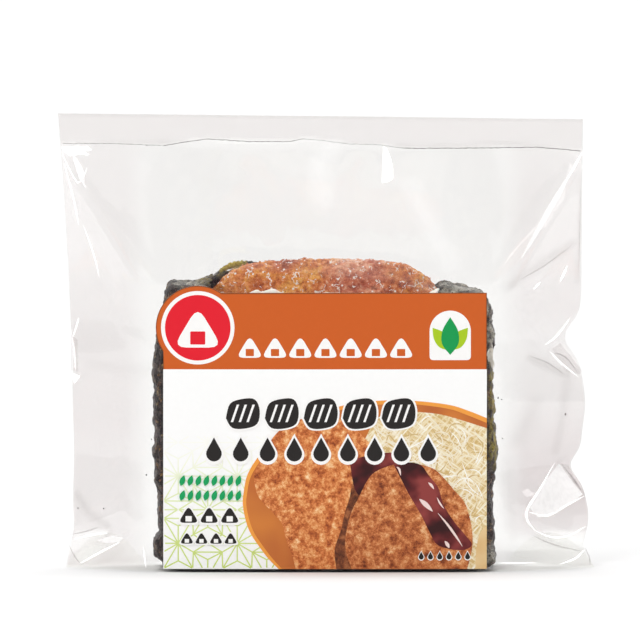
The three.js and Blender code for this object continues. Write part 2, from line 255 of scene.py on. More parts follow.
def seam_at(x, height):
    """How far out the side seam on x's side lies at a height, and how far back."""
    seam, pinches = (LEFT_SEAM, LEFT_PINCHES) if x < 0 else (RIGHT_SEAM, RIGHT_PINCHES)
    rise = (height - seam["waist_height"]) / SEAM_OPENING_OVER
    reach = seam["waist"] + seam["opening"] * rise * rise
    reach += seam["ear"] * clamp01(1 - height / seam["ear_height"])
    back = 0
    for pinch_height, inward, pinch_back, pinch_reach in pinches:
        share = bump(height - pinch_height, pinch_reach)
        reach -= inward * share
        back += pinch_back * share
    return reach, back


def top_edge(x):
    return TOP_EDGE - TOP_LEAN * x


def seal_line(x):
    return top_edge(x) - HEADER + 0.45 * math.sin(x / 6.1 + 1.1) + 0.35 * math.sin(x / 14.7 - 0.6)


def header_wave(x):
    return 1.3 * math.sin(x / 19 + 0.8) + 0.5 * math.sin(x / 7.3)


def fold_lift(x, z, start, end, lift, reach):
    dx, dz = end[0] - start[0], end[1] - start[1]
    along = ((x - start[0]) * dx + (z - start[1]) * dz) / (dx * dx + dz * dz)
    across = abs((x - start[0]) * dz - (z - start[1]) * dx) / math.hypot(dx, dz)
    taper = math.sin(math.pi * clamp01(along)) ** 0.6
    return lift * taper * clamp01(1 - across / reach) ** 1.5


def film_at(x, z, folds, crease=lambda x, z: 0.0):
    """Half the bag's depth at (x, z), and how far back its middle lies."""
    reach, back = seam_at(x, z)
    out = eased_slope((abs(x) - BLOCK_HALF_WIDTH) / (reach - BLOCK_HALF_WIDTH))
    up = eased_slope((z - BLOCK_SHOULDER) / (seal_line(x) - BLOCK_SHOULDER))
    both = clamp01((out ** 7 + up ** 7) ** (1 / 7))
    flat = BLOCK_HALF_DEPTH - BLOCK_CROWN * (min(abs(x), BLOCK_HALF_WIDTH) / BLOCK_HALF_WIDTH) ** 2
    loose = min(1.0, 5 * both) * clamp01(6 * (1 - both))
    lift = sum(fold_lift(x, z, *fold) for fold in folds) + crease(x, z)
    rounding = BOTTOM_ROUND * clamp01(1 - z / 1.5) * (1 - both)
    depth = HALF_FILM + max(0.0, (flat - HALF_FILM) * (1 - both) + loose * lift - rounding)
    return depth, back * out * (1 - up) + header_wave(x) * up


# ---------------------------------------------------------------- modelling by hand

def deselect_all():
    if bpy.context.mode != "OBJECT":
        bpy.ops.object.mode_set(mode="OBJECT")
    bpy.ops.object.select_all(action="DESELECT")


def pick(piece):
    """Makes piece the only selected object."""
    deselect_all()
    piece.select_set(True)
    bpy.context.view_layer.objects.active = piece
    return piece


def named(name):
    """The object just added, under its name, with its place and size moved into its mesh."""
    piece = bpy.context.object
    piece.name = piece.data.name = name
    bpy.ops.object.transform_apply(location=True, rotation=True, scale=True)
    return piece


def edit(piece, select="ALL"):
    pick(piece)
    bpy.ops.object.mode_set(mode="EDIT")
    bpy.ops.mesh.select_mode(type="VERT")
    bpy.ops.mesh.select_all(action="SELECT" if select == "ALL" else "DESELECT")


def done():
    bpy.ops.object.mode_set(mode="OBJECT")


def apply_modifier(piece, kind, **settings):
    """Adds one modifier with its settings and applies it."""
    pick(piece)
    modifier = piece.modifiers.new(kind.title(), kind)
    for name, value in settings.items():
        setattr(modifier, name, value)
    bpy.ops.object.modifier_apply(modifier=modifier.name)


def move_points(piece, place):
    """Puts each vertex where place(point in millimetres) says."""
    for vertex in piece.data.vertices:
        vertex.co = Vector(place(vertex.co / MM)) * MM
    piece.data.update()


def relieve(piece, place):
    """Puts each vertex where place(point in millimetres, its normal before any moved) says."""
    normals = [vertex.normal.copy() for vertex in piece.data.vertices]
    for vertex, normal in zip(piece.data.vertices, normals):
        vertex.co = place(vertex.co / MM, normal) * MM
    piece.data.update()


def added(name, data):
    """A new object of a mesh or a drawn curve."""
    piece = bpy.data.objects.new(name, data)
    bpy.context.scene.collection.objects.link(piece)
    return piece


def meshed(name, points, faces):
    mesh = bpy.data.meshes.new(name)
    mesh.from_pydata(points, [], faces)
    return added(name, mesh)


def drawn(name, drawing):
    """A drawn curve as a mesh."""
    pick(added(name, drawing))
    bpy.ops.object.convert(target="MESH")
    return named(name)


def face_out(piece):
    edit(piece)
    bpy.ops.mesh.normals_make_consistent(inside=False)
    done()


def new_marks(piece, *names):
    """New numbers for each vertex, which a material reads by name: one list for each name."""
    for name in names:
        piece.data.attributes.new(name, "FLOAT", "POINT")
    return [piece.data.attributes[name].data for name in names]


def smooth(piece, angle=None):
    pick(piece)
    if angle is None:
        bpy.ops.object.shade_smooth()
    else:
        bpy.ops.object.shade_smooth_by_angle(angle=math.radians(angle))


def finish_piece(piece, material, slot, *replaced):
    """Gives a finished piece its material, its body and the solid it stands for. The slot is not used."""
    piece.data.materials.clear()
    piece.data.materials.append(material)
    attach(piece, "root")
    if replaced:
        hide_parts(*replaced)
    return piece


# ---------------------------------------------------------------- materials

def linear(hex_colour, alpha=1.0):
    """An sRGB hex colour as the linear colour that a shader takes."""
    parts = [int(hex_colour[i:i + 2], 16) / 255 for i in (1, 3, 5)]
    return tuple(c / 12.92 if c <= 0.04045 else ((c + 0.055) / 1.055) ** 2.4 for c in parts) + (alpha,)


def add_node(tree, kind, settings=None, links=None):
    """Adds one node. Settings are its properties, its inputs by name or number, or a ramp's stops. A link
    comes from one of another node's outputs, or from the first one where only the node is given."""
    node = tree.nodes.new("ShaderNode" + kind)
    for key, value in (settings or {}).items():
        if key == "stops":
            ramp = node.color_ramp
            while len(ramp.elements) < len(value):
                ramp.elements.new(1.0)
            for element, (place, colour) in zip(ramp.elements, value):
                element.position = place
                element.color = linear(colour) if isinstance(colour, str) else (colour,) * 3 + (1,)
        elif isinstance(key, str) and hasattr(node, key):
            setattr(node, key, value)
        else:
            node.inputs[key].default_value = linear(value) if isinstance(value, str) else value
    for key, source in (links or {}).items():
        output = source.outputs[0] if hasattr(source, "outputs") else source
        tree.links.new(output, node.inputs[key])
    return node


def new_material(name):
    material = bpy.data.materials.new(name)
    material.use_nodes = True
    material.node_tree.nodes.clear()
    return material, material.node_tree


def clear_film():
    """Clear polypropylene film: its two faces mirror the studio, and it has a faint grey haze. Where it
    clings to the moist seaweed it mirrors less, and its inner face, which seals, is duller."""
    material, tree = new_material("clear_polypropylene_film")
    cling = add_node(tree, "Attribute", {"attribute_name": "cling"})
    clouding = add_node(tree, "Attribute", {"attribute_name": "clouding"})
    facing = add_node(tree, "LayerWeight", {"Blend": 0.5})
    grazing = add_node(tree, "Math", {"operation": "POWER", 1: 5.0}, {0: facing.outputs["Facing"]})
    mirror = add_node(tree, "MapRange", {"To Min": 0.1, "To Max": 0.9}, {"Value": grazing})
    # The mirror is also cut in the painted sheens, which lightens the film there as painted light.
    air_gap_and_sheen = add_node(tree, "MapRange", {"To Min": 1.0, "To Max": 0.15}, {"Value": cling.outputs["Fac"]})
    inside = add_node(tree, "NewGeometry")
    dulled = add_node(tree, "MapRange", {"To Min": 1.0, "To Max": 0.55},
                      {"Value": inside.outputs["Backfacing"]})
    outer_share = add_node(tree, "Math", {"operation": "MULTIPLY"}, {0: mirror, 1: air_gap_and_sheen})
    mirror_share = add_node(tree, "Math", {"operation": "MULTIPLY"}, {0: outer_share, 1: dulled})
    place = add_node(tree, "TexCoord")
    ripple = add_node(tree, "TexNoise", {"Scale": 160.0, "Detail": 3.0, "Roughness": 0.5},
                      {"Vector": place.outputs["Object"]})
    relief = add_node(tree, "Bump", {"Strength": 0.12, "Distance": 0.0004},
                      {"Height": ripple.outputs["Fac"]})
    see = add_node(tree, "BsdfTransparent", {"Color": "#fefefd"})
    shine = add_node(tree, "BsdfGlossy", {"Roughness": 0.07, "Color": "#ffffff"}, {"Normal": relief})
    # Haze scatters a dull red, which comes out as warm grey at its low share. A sheen is white, a shade grey.
    # On the wings the haze is partly painted shade.
    haze_and_wing_shade_share = add_node(tree, "MapRange", {"To Min": 0.0, "To Max": 0.19},
                          {"Value": clouding.outputs["Fac"]})
    sheen_share = add_node(tree, "Attribute", {"attribute_name": "sheen"}).outputs["Fac"]
    shade_share = add_node(tree, "Attribute", {"attribute_name": "shade"}).outputs["Fac"]
    clear = see
    for share, colour in ((haze_and_wing_shade_share, "#a86070"), (shade_share, "#857a75"), (sheen_share, "#ffffff")):
        scatter_light = add_node(tree, "BsdfDiffuse", {"Color": colour})
        clear = add_node(tree, "MixShader", None, {0: share, 1: clear, 2: scatter_light})
    film = add_node(tree, "MixShader", None, {0: mirror_share, 1: clear, 2: shine})
    add_node(tree, "OutputMaterial", None, {"Surface": film})
    return material


def painted_crease_film(name, colour, through_colour, share):
    """Painted light and shade laid over the film: a flat colour, a little uneven, with its gloss kept."""
    material, tree = new_material(name)
    place = add_node(tree, "TexCoord").outputs["Object"]
    patches = add_node(tree, "TexNoise", {"Scale": 700.0, "Detail": 2.0}, {"Vector": place})
    painted_tone_share = add_node(tree, "MapRange", {"From Min": 0.35, "From Max": 0.55, "To Min": 0.93 * share,
                                         "To Max": share}, {"Value": patches.outputs["Fac"]})
    see = add_node(tree, "BsdfTransparent", {"Color": "#fefdfd"})
    # The painted tone takes light on its face and from behind it, the two added together.
    lit_front = add_node(tree, "BsdfDiffuse", {"Color": colour})
    lit_through = add_node(tree, "BsdfTranslucent", {"Color": through_colour})
    painted_tone = add_node(tree, "AddShader", None, {0: lit_front, 1: lit_through})
    painted_over = add_node(tree, "MixShader", None, {0: painted_tone_share, 1: see, 2: painted_tone})
    shine = add_node(tree, "BsdfGlossy", {"Roughness": 0.15, "Color": "#ffffff"})
    film = add_node(tree, "MixShader", {0: 0.02}, {1: painted_over, 2: shine})
    add_node(tree, "OutputMaterial", None, {"Surface": film})
    return material


def coated_paper(name, colour):
    """Ink on coated label paper: an even colour with the faint mottle of print, under a satin coat."""
    material, tree = new_material(name)
    place = add_node(tree, "TexCoord")
    mottle = add_node(tree, "TexNoise", {"Scale": 900.0, "Detail": 2.0},
                      {"Vector": place.outputs["Object"]})
    shade = add_node(tree, "MapRange", {"To Min": 0.965, "To Max": 1.0}, {"Value": mottle.outputs["Fac"]})
    ink = add_node(tree, "Mix", {"data_type": "RGBA", "blend_type": "MULTIPLY", "Factor": 1.0, 6: colour},
                   {7: shade})
    surface = add_node(tree, "BsdfPrincipled",
                       {"Roughness": PRINT_ROUGHNESS, "Specular IOR Level": PRINT_GLOSS},
                       {"Base Color": ink.outputs[2]})
    add_node(tree, "OutputMaterial", None, {"Surface": surface})
    return material


def printed_picture(name, scale, detail, stops, roughness=0.68):
    """The inks of a printed food picture on coated paper: mottled tones between the given ones."""
    material, tree = new_material(name)
    place = add_node(tree, "TexCoord").outputs["Object"]
    tones = add_node(tree, "TexNoise", {"Scale": float(scale), "Detail": float(detail),
                                        "Roughness": roughness}, {"Vector": place})
    colour = add_node(tree, "ValToRGB", {"stops": stops}, {0: tones.outputs["Fac"]})
    surface = add_node(tree, "BsdfPrincipled",
                       {"Roughness": PRINT_ROUGHNESS, "Specular IOR Level": PRINT_GLOSS},
                       {"Base Color": colour})
    add_node(tree, "OutputMaterial", None, {"Surface": surface})
    return material


def cabbage_ink():
    """The inks of a printed heap of shredded cabbage: whitish strands in two slants over yellow-beige."""
    material, tree = new_material("cabbage_ink")
    place = add_node(tree, "TexCoord").outputs["Object"]
    slants = []
    for turn in (35, -50):
        slant = add_node(tree, "Mapping", {"vector_type": "TEXTURE", "Rotation": (0, math.radians(turn), 0),
                                           "Scale": (0.0042, 1.0, 0.0006)}, {"Vector": place})
        slants.append(add_node(tree, "TexNoise", {"Scale": 1.0, "Detail": 3.0, "Roughness": 0.55,
                                                  "Distortion": 0.5}, {"Vector": slant}))
    strands = add_node(tree, "Math", {"operation": "MAXIMUM"},
                       {0: slants[0].outputs["Fac"], 1: slants[1].outputs["Fac"]})
    colour = add_node(tree, "ValToRGB",
                      {"stops": [(0.42, "#cfae70"), (0.5, "#e3cb98"), (0.58, "#f0e3c2"),
                                 (0.68, "#faf4e4")]}, {0: strands})
    surface = add_node(tree, "BsdfPrincipled",
                       {"Roughness": PRINT_ROUGHNESS, "Specular IOR Level": PRINT_GLOSS},
                       {"Base Color": colour})
    add_node(tree, "OutputMaterial", None, {"Surface": surface})
    return material


def fading_ink():
    """Yellow-green ink on coated paper, full at the label's foot and nearly gone 28 mm up."""
    material, tree = new_material("fading_green_ink")
    place = add_node(tree, "TexCoord").outputs["Object"]
    parts = add_node(tree, "SeparateXYZ", None, {0: place})
    tone = add_node(tree, "MapRange", {"From Max": 0.028}, {"Value": parts.outputs["Z"]})
    colour = add_node(tree, "ValToRGB",
                      {"stops": [(0.0, "#c6d96e"), (0.35, "#d3e28e"), (0.65, "#e6eec2"), (1.0, "#fafaf4")]},
                      {0: tone})
    surface = add_node(tree, "BsdfPrincipled", {"Roughness": PRINT_ROUGHNESS}, {"Base Color": colour})
    add_node(tree, "OutputMaterial", None, {"Surface": surface})
    return material


def seaweed():
    """Roasted seaweed, moist from the rice: near black, satin and finely crinkled, with brown and ochre
    flecks, glossier and painted a pale olive grey as sheen where it is wet, and painted yellow-green where
    it is thin, as light shining through."""
    material, tree = new_material("roasted_seaweed")
    place = add_node(tree, "TexCoord").outputs["Object"]
    patches = add_node(tree, "TexNoise", {"Scale": 560.0, "Detail": 9.0, "Roughness": 0.8}, {"Vector": place})
    base = add_node(tree, "ValToRGB",
                    {"stops": [(0.38, "#040404"), (0.46, "#141111"), (0.53, "#322b29"), (0.6, "#66594f"),
                               (0.69, "#a89c90")]}, {0: patches.outputs["Fac"]})
    # Flecks of 0.8 mm, in clusters: the sheet's thin spots, which show brown over the rice.
    cells = add_node(tree, "TexVoronoi", {"Scale": 1200.0, "Randomness": 1.0}, {"Vector": place})
    clusters = add_node(tree, "TexNoise", {"Scale": 520.0, "Detail": 4.0, "Roughness": 0.7},
                        {"Vector": place})
    fleck_colour = add_node(tree, "ValToRGB",
                            {"stops": [(0.2, "#3d291f"), (0.45, "#714c33"), (0.6, "#9a7038"),
                                       (0.8, "#b59b62")]}, {0: cells.outputs["Color"]})
    fleck_share = add_node(tree, "MapRange", {"From Min": 0.53, "From Max": 0.62, "To Max": 0.85},
                           {"Value": clusters.outputs["Fac"]})
    flecked = add_node(tree, "Mix", {"data_type": "RGBA"}, {0: fleck_share, 6: base, 7: fleck_colour})
    wet = add_node(tree, "Attribute", {"attribute_name": "wet"})
    # Painted sheen: where it is wet, a pale olive grey stands in for the shine of the wet sheet.
    painted_sheen_grey = add_node(tree, "ValToRGB",
                          {"stops": [(0.4, "#4a4b44"), (0.46, "#989689"), (0.53, "#cec8b6"),
                                     (0.6, "#f4efe2")]}, {0: patches.outputs["Fac"]})
    with_painted_sheen = add_node(tree, "Mix", {"data_type": "RGBA"}, {0: wet.outputs["Fac"], 6: flecked.outputs[2],
                                                           7: painted_sheen_grey})
    thin = add_node(tree, "Attribute", {"attribute_name": "thin"})
    # Painted light: where the sheet is thin, its colour is lifted to a bright yellow, for light shining
    # through it.
    backlit_yellow = add_node(tree, "ValToRGB",
                           {"stops": [(0.36, "#948620"), (0.43, "#dcc22c"), (0.5, "#f4dc3a"),
                                      (0.58, "#fff28c")]}, {0: patches.outputs["Fac"]})
    worn = add_node(tree, "MapRange", {"From Min": 0.36, "From Max": 0.46},
                    {"Value": clusters.outputs["Fac"]})
    backlit_share = add_node(tree, "Math", {"operation": "MULTIPLY"}, {0: thin.outputs["Fac"], 1: worn})
    colour = add_node(tree, "Mix", {"data_type": "RGBA"},
                      {0: backlit_share, 6: with_painted_sheen.outputs[2], 7: backlit_yellow})
    # Crinkles: ridges 2 mm apart, with the sheet's own fibres over them.
    ridges = add_node(tree, "TexNoise", {"noise_type": "RIDGED_MULTIFRACTAL", "Scale": 480.0, "Detail": 4.0,
                                         "Roughness": 0.6, "Offset": 1.0, "Gain": 2.0}, {"Vector": place})
    fibres = add_node(tree, "TexNoise", {"Scale": 1300.0, "Detail": 4.0, "Roughness": 0.7}, {"Vector": place})
    crinkled = add_node(tree, "Bump", {"Strength": 1.0, "Distance": 0.0008},
                        {"Height": ridges.outputs["Fac"]})
    relief = add_node(tree, "Bump", {"Strength": 0.8, "Distance": 0.0004},
                      {"Height": fibres.outputs["Fac"], "Normal": crinkled})
    rough = add_node(tree, "MapRange", {"To Min": 0.4, "To Max": 0.22}, {"Value": wet.outputs["Fac"]})
    surface = add_node(tree, "BsdfPrincipled", {"IOR": 1.45, "Specular IOR Level": 0.4},
                       {"Base Color": colour.outputs[2], "Roughness": rough, "Normal": relief})
    # Where it is thin, light from behind shines through.
    let_through = add_node(tree, "Math", {"operation": "MULTIPLY", 1: 0.2}, {0: backlit_share})
    lit_through = add_node(tree, "BsdfTranslucent", None, {"Color": backlit_yellow})
    sheet = add_node(tree, "MixShader", None, {0: let_through, 1: surface, 2: lit_through})
    add_node(tree, "OutputMaterial", None, {"Surface": sheet})
    return material


def cooked_rice(name):
    """Cooked short-grain rice: milky, moist and slightly see-through, each grain a little different."""
    material, tree = new_material(name)
    place = add_node(tree, "TexCoord").outputs["Object"]
    tone = add_node(tree, "TexNoise", {"Scale": 330.0, "Detail": 2.0}, {"Vector": place})
    colour = add_node(tree, "ValToRGB", {"stops": [(0.35, "#cfc9bb"), (0.5, "#e6e1d5"), (0.7, "#f4f1e8")]},
                      {0: tone.outputs["Fac"]})
    surface = add_node(tree, "BsdfPrincipled", {"Roughness": 0.3, "IOR": 1.4, "Subsurface Weight": 0.25,
                                                "Subsurface Scale": 0.0015,
                                                "Subsurface Radius": (1.0, 0.9, 0.7)},
                       {"Base Color": colour})
    add_node(tree, "OutputMaterial", None, {"Surface": surface})
    return material


def glazed_cutlet(name="glazed_fried_cutlet"):
    """Fried crumb soaked in a sweet soy glaze: wet and amber, pinkish to the right of its middle where
    mayonnaise is mixed in, with golden patches, and thin bright lines and dots painted in as highlights."""
    material, tree = new_material(name)
    place = add_node(tree, "TexCoord").outputs["Object"]
    broad = add_node(tree, "TexNoise", {"Scale": 120.0, "Detail": 6.0, "Roughness": 0.66}, {"Vector": place})
    amber = add_node(tree, "ValToRGB",
                     {"stops": [(0.36, "#a04312"), (0.44, "#cc6c2c"), (0.51, "#e38a42"), (0.58, "#efa64c"),
                                (0.68, "#f9c566")]}, {0: broad.outputs["Fac"]})
    pink = add_node(tree, "ValToRGB",
                    {"stops": [(0.36, "#ad4c31"), (0.45, "#d67e5e"), (0.54, "#eba588"), (0.66, "#fbd0b6")]},
                    {0: broad.outputs["Fac"]})
    parts = add_node(tree, "SeparateXYZ", None, {0: place})
    from_middle = add_node(tree, "Math", {"operation": "SUBTRACT", 1: 0.0075}, {0: parts.outputs["X"]})
    sideways = add_node(tree, "Math", {"operation": "ABSOLUTE"}, {0: from_middle})
    mixed_in = add_node(tree, "MapRange", {"From Min": 0.004, "From Max": 0.009, "To Min": 0.9,
                                           "To Max": 0.0}, {"Value": sideways})
    fried = add_node(tree, "Mix", {"data_type": "RGBA"}, {0: mixed_in, 6: amber, 7: pink})
    crumb = add_node(tree, "TexNoise", {"Scale": 1000.0, "Detail": 5.0, "Roughness": 0.75}, {"Vector": place})
    grit = add_node(tree, "ValToRGB", {"stops": [(0.34, "#8c4526"), (0.46, "#e8cdbd"), (0.54, "#ffffff")]},
                    {0: crumb.outputs["Fac"]})
    crumbed = add_node(tree, "Mix", {"data_type": "RGBA", "blend_type": "MULTIPLY", "Factor": 0.75},
                       {6: fried.outputs[2], 7: grit})
    sparkle = add_node(tree, "MapRange", {"From Min": 0.56, "From Max": 0.68, "To Max": 0.6},
                       {"Value": crumb.outputs["Fac"]})
    sparkling = add_node(tree, "Mix", {"data_type": "RGBA", 7: "#ffe0bd"},
                         {0: sparkle, 6: crumbed.outputs[2]})
    # Painted highlights: thin bright lines where one noise crosses its middle value, in patches of another.
    glint_swirl = add_node(tree, "TexNoise", {"Scale": 760.0, "Detail": 1.5}, {"Vector": place})
    off_line = add_node(tree, "Math", {"operation": "SUBTRACT", 1: 0.5}, {0: glint_swirl.outputs["Fac"]})
    beside = add_node(tree, "Math", {"operation": "ABSOLUTE"}, {0: off_line})
    line = add_node(tree, "MapRange", {"From Min": 0.012, "From Max": 0.032, "To Min": 1.0, "To Max": 0.0},
                    {"Value": beside})
    patches = add_node(tree, "TexNoise", {"Scale": 520.0, "Detail": 2.0}, {"Vector": place})
    glint_patch = add_node(tree, "MapRange", {"From Min": 0.55, "From Max": 0.59},
                     {"Value": patches.outputs["Fac"]})
    lines = add_node(tree, "Math", {"operation": "MULTIPLY"}, {0: line, 1: glint_patch})
    # Painted highlights: bright dots 0.4 mm across, on one crumb in three.
    glint_cells = add_node(tree, "TexVoronoi", {"Scale": 780.0, "Randomness": 1.0}, {"Vector": place})
    bead = add_node(tree, "MapRange", {"From Min": 0.14, "From Max": 0.26, "To Min": 1.0, "To Max": 0.0},
                    {"Value": glint_cells.outputs["Distance"]})
    lit = add_node(tree, "MapRange", {"From Min": 0.56, "From Max": 0.6}, {"Value": glint_cells.outputs["Color"]})
    dots = add_node(tree, "Math", {"operation": "MULTIPLY"}, {0: bead, 1: lit})
    glint = add_node(tree, "Math", {"operation": "MAXIMUM"}, {0: lines, 1: dots})
    colour = add_node(tree, "Mix", {"data_type": "RGBA", 7: "#fff6ee"}, {0: glint, 6: sparkling.outputs[2]})
    relief = add_node(tree, "Bump", {"Strength": 0.6, "Distance": 0.0004}, {"Height": crumb.outputs["Fac"]})
    surface = add_node(tree, "BsdfPrincipled", {"Roughness": 0.15, "IOR": 1.5, "Subsurface Weight": 0.1,
                                                "Subsurface Scale": 0.0015,
                                                "Subsurface Radius": (1.0, 0.45, 0.25)},
                       {"Base Color": colour.outputs[2], "Normal": relief})
    add_node(tree, "OutputMaterial", None, {"Surface": surface})
    return material


def mayonnaise_sauce():
    """Mayonnaise: opaque cream, wet and even, with a faint yellow tone."""
    material, tree = new_material("mayonnaise_sauce")
    place = add_node(tree, "TexCoord").outputs["Object"]
    tone = add_node(tree, "TexNoise", {"Scale": 500.0, "Detail": 2.0}, {"Vector": place})
    colour = add_node(tree, "ValToRGB", {"stops": [(0.35, "#efe6da"), (0.65, "#fbf8f1")]},
                      {0: tone.outputs["Fac"]})
    surface = add_node(tree, "BsdfPrincipled", {"Roughness": 0.22, "IOR": 1.46, "Subsurface Weight": 0.2,
                                                "Subsurface Scale": 0.001}, {"Base Color": colour})
    add_node(tree, "OutputMaterial", None, {"Surface": surface})
    return material


# ---------------------------------------------------------------- the film

def film_creases(seed, spacing, height):
    """A net of flat facets with sharp creases between, as in handled film: the lift at (x, z)."""
    draw = random.Random(seed)
    points, lifts = [], []
    for column in range(-8, 9):
        for row in range(-1, 10):
            x = (column + 0.5 * (row % 2) + draw.uniform(-0.38, 0.38)) * spacing
            z = (row + draw.uniform(-0.38, 0.38)) * spacing
            points.append(Vector((x, z)))
            lifts.append(draw.uniform(-height, height))
    corners, _, triangles, old, _, _ = geometry.delaunay_2d_cdt(points, [], [], 0, 1e-6)
    net = BVHTree.FromPolygons(
        [(corner.x, lifts[group[0]], corner.y) for corner, group in zip(corners, old)], triangles)

    def lift(x, z):
        hit = net.ray_cast(Vector((x, -100, z)), Vector((0, 1, 0)))[0]
        return hit.y if hit else 0.0
    return lift


FRONT_NET = film_creases(seed=4, spacing=13, height=0.3)
BACK_NET = film_creases(seed=9, spacing=13, height=0.3)


def soft_mark(x, z, points, half_width, strength):
    """How strong a soft mark along a line of points is at (x, z)."""
    nearest = 9.0
    for (x0, z0), (x1, z1) in zip(points, points[1:]):
        dx, dz = x1 - x0, z1 - z0
        along = clamp01(((x - x0) * dx + (z - z0) * dz) / (dx * dx + dz * dz))
        nearest = min(nearest, math.hypot(x - x0 - along * dx, z - z0 - along * dz) / half_width)
    return strength * bump(nearest, 1)


def make_film():
    """The bag: a front and a back sheet that meet at the side seams, the header and the folded foot."""
    deselect_all()
    bpy.ops.mesh.primitive_grid_add(x_subdivisions=FILM_COLUMNS, y_subdivisions=FILM_ROWS, size=2 * MM,
                                    rotation=(math.pi / 2, 0, 0))
    bag = named("film_bag")
    edit(bag)
    for _ in range(2):
        bpy.ops.mesh.extrude_region_move(TRANSFORM_OT_translate={"value": (0, 1 * MM, 0)})
    done()

    def film_place(point):
        across, sheet, rise = point.x, round(point.y) - 1, (point.z + 1) / 2
        z = rise * TOP_EDGE
        x = across * seam_at(across, z)[0]
        z = rise * top_edge(x)
        x = across * seam_at(across, z)[0]
        folds, crease = (BACK_FOLDS, BACK_NET) if sheet > 0 else (FRONT_FOLDS, FRONT_NET)
        depth, middle = film_at(x, z, folds, crease)
        if sheet == 0 and rise < 1e-4:
            reach = seam_at(across, 0)[0]
            along = clamp01((abs(x) - GUSSET_START) / (reach - GUSSET_START))
            z = GUSSET_HEIGHT * 4 * along * (1 - along)
        return x, middle + sheet * depth, z

    move_points(bag, film_place)
    face_out(bag)
    clouding, sheen, shade, cling = new_marks(bag, "clouding", "sheen", "shade", "cling")
    for i, vertex in enumerate(bag.data.vertices):
        x, y, z = vertex.co / MM
        sealed = clamp01((z - through(SEAL_EDGE, x)) / 0.6)
        # The wing haze is partly painted shade.
        wing_haze_and_shade = through(WING_HAZE_AND_SHADE_LEFT if x < 0 else WING_HAZE_AND_SHADE_RIGHT, z)
        wing = wing_haze_and_shade * clamp01((abs(x) - BLOCK_HALF_WIDTH) / WING_EASE)
        foot = z < 0.05 or z < GUSSET_HEIGHT + 0.1 and abs(y) < 0.9 * film_at(x, z, ())[0]
        clouding[i].value = 0.0 if foot else max(FILM_HAZE, HEADER_HAZE * sealed, wing)
        if y < header_wave(x) * clamp01((z - 60) / 40) and not foot:
            sheen[i].value = max(soft_mark(x, z, *mark) for mark in SHEENS)
            shade[i].value = max(soft_mark(x, z, *mark) for mark in SHADES)
        if not foot:
            shade[i].value = max(HEADER_SHADE * sealed, shade[i].value)
        wrapped = through(WRAP_LEFT if x < 0 else WRAP_RIGHT, z) - abs(x)
        close = clamp01(wrapped) * clamp01(through(WRAP_TOP, x) - z)
        # In the painted sheens the film mirrors less too, to lighten them as painted light.
        cling[i].value = 1.0 if foot else max(close, min(1.0, 5 * sheen[i].value))
    smooth(bag)
    return finish_piece(bag, clear_film(), "clear_film", "bag")


def film_front(x, z):
    """Where the bag's front sheet lies at (x, z)."""
    depth, middle = film_at(x, z, FRONT_FOLDS, FRONT_NET)
    return middle - depth


def make_seal():
    """The heat seal's lower edge: a fine weld across the bag, a little uneven, coloured grey as painted
    shade.
    """
    deselect_all()
    drawing = bpy.data.curves.new("seal_weld", "CURVE")
    drawing.dimensions = "3D"
    drawing.bevel_depth = SEAL_RADIUS * MM
    drawing.bevel_resolution = 1
    drawing.use_fill_caps = True
    spline = drawing.splines.new("POLY")
    spline.points.add(SEAL_POINTS - 1)
    for i, point in enumerate(spline.points):
        along = 2 * i / (SEAL_POINTS - 1) - 1
        x = along * (seam_at(along, TOP_EDGE - HEADER)[0] - 0.5)
        z = through(SEAL_EDGE, x) + 0.12 * noise.noise(Vector((x / 1.3, 4, 0)))
        point.co = (x * MM, (film_front(x, z) - 0.05) * MM, z * MM, 1)
        unevenness = 1.5 if x < -37 else 0.7
        point.radius = through(SEAL_STRENGTH, x) * max(
            0.15, 1 + unevenness * noise.noise(Vector((x / 0.7, 0, 7))))
    weld = drawn("seal_weld", drawing)
    smooth(weld)
    # Painted shade: the weld's grey stands in for the shadow line where the film's layers part.
    return finish_piece(weld, painted_crease_film("heat_seal_edge_shade", "#8f8c8a", "#303030", 0.75), "clear_film")


def make_painted_creases():
    """Painted highlights and shade on the front sheet: sharp creases and small facets, each a thin strip
    that follows the film.
    """
    kinds = (
        # White strips are painted lamp reflections, pale ones painted soft light, grey and dark ones painted
        # shade.
        ("white", PAINTED_HIGHLIGHT_CREASES, PAINTED_HIGHLIGHT_FACETS, "#ffffff", "#b4b4b4", 1.0),
        ("grey", PAINTED_SHADE_CREASES, [], "#7b7573", "#202020", 0.16),
        ("pale", PAINTED_PALE_CREASES, PAINTED_PALE_FACETS, "#ffffff", "#6c6967", 0.66),
        ("painted_shade", [], PAINTED_SHADE_FACETS, "#8d8581", "#202020", 0.05),
    )
    for name, creases, facets, colour, through_colour, share in kinds:
        outlines = [stroke(points, width) for points, width in creases] + facets
        strips = flat_shape(f"film_creases_{name}", outlines, CREASE_LOW, CREASE_HIGH, CREASE_STEP,
                            film_front)
        smooth(strips, 35)
        finish_piece(strips, painted_crease_film(f"{name}_painted_crease_film", colour, through_colour, share),
                     "clear_film")


def make_specks():
    """A few specks of seaweed and crumb, loose behind the front sheet."""
    deselect_all()
    bpy.ops.mesh.primitive_ico_sphere_add(subdivisions=1, radius=MM)
    speck = named("speck")
    edit(speck)
    bpy.ops.transform.resize(value=(1.0, 0.5, 0.8))
    done()
    draw = random.Random(3)
    places = []
    for x, z, size in SPECKS:
        turn = Euler((draw.uniform(0, 3), draw.uniform(0, 3), 0)).to_matrix()
        places.append(((x, film_front(x, z) + 0.5, z), turn, size))
    return finish_piece(scatter("loose_specks", speck, places), seaweed(), "nori")


# ---------------------------------------------------------------- the label

def label_y(x, height_above_film):
    return -(BLOCK_HALF_DEPTH - BLOCK_CROWN * (x / BLOCK_HALF_WIDTH) ** 2) - height_above_film


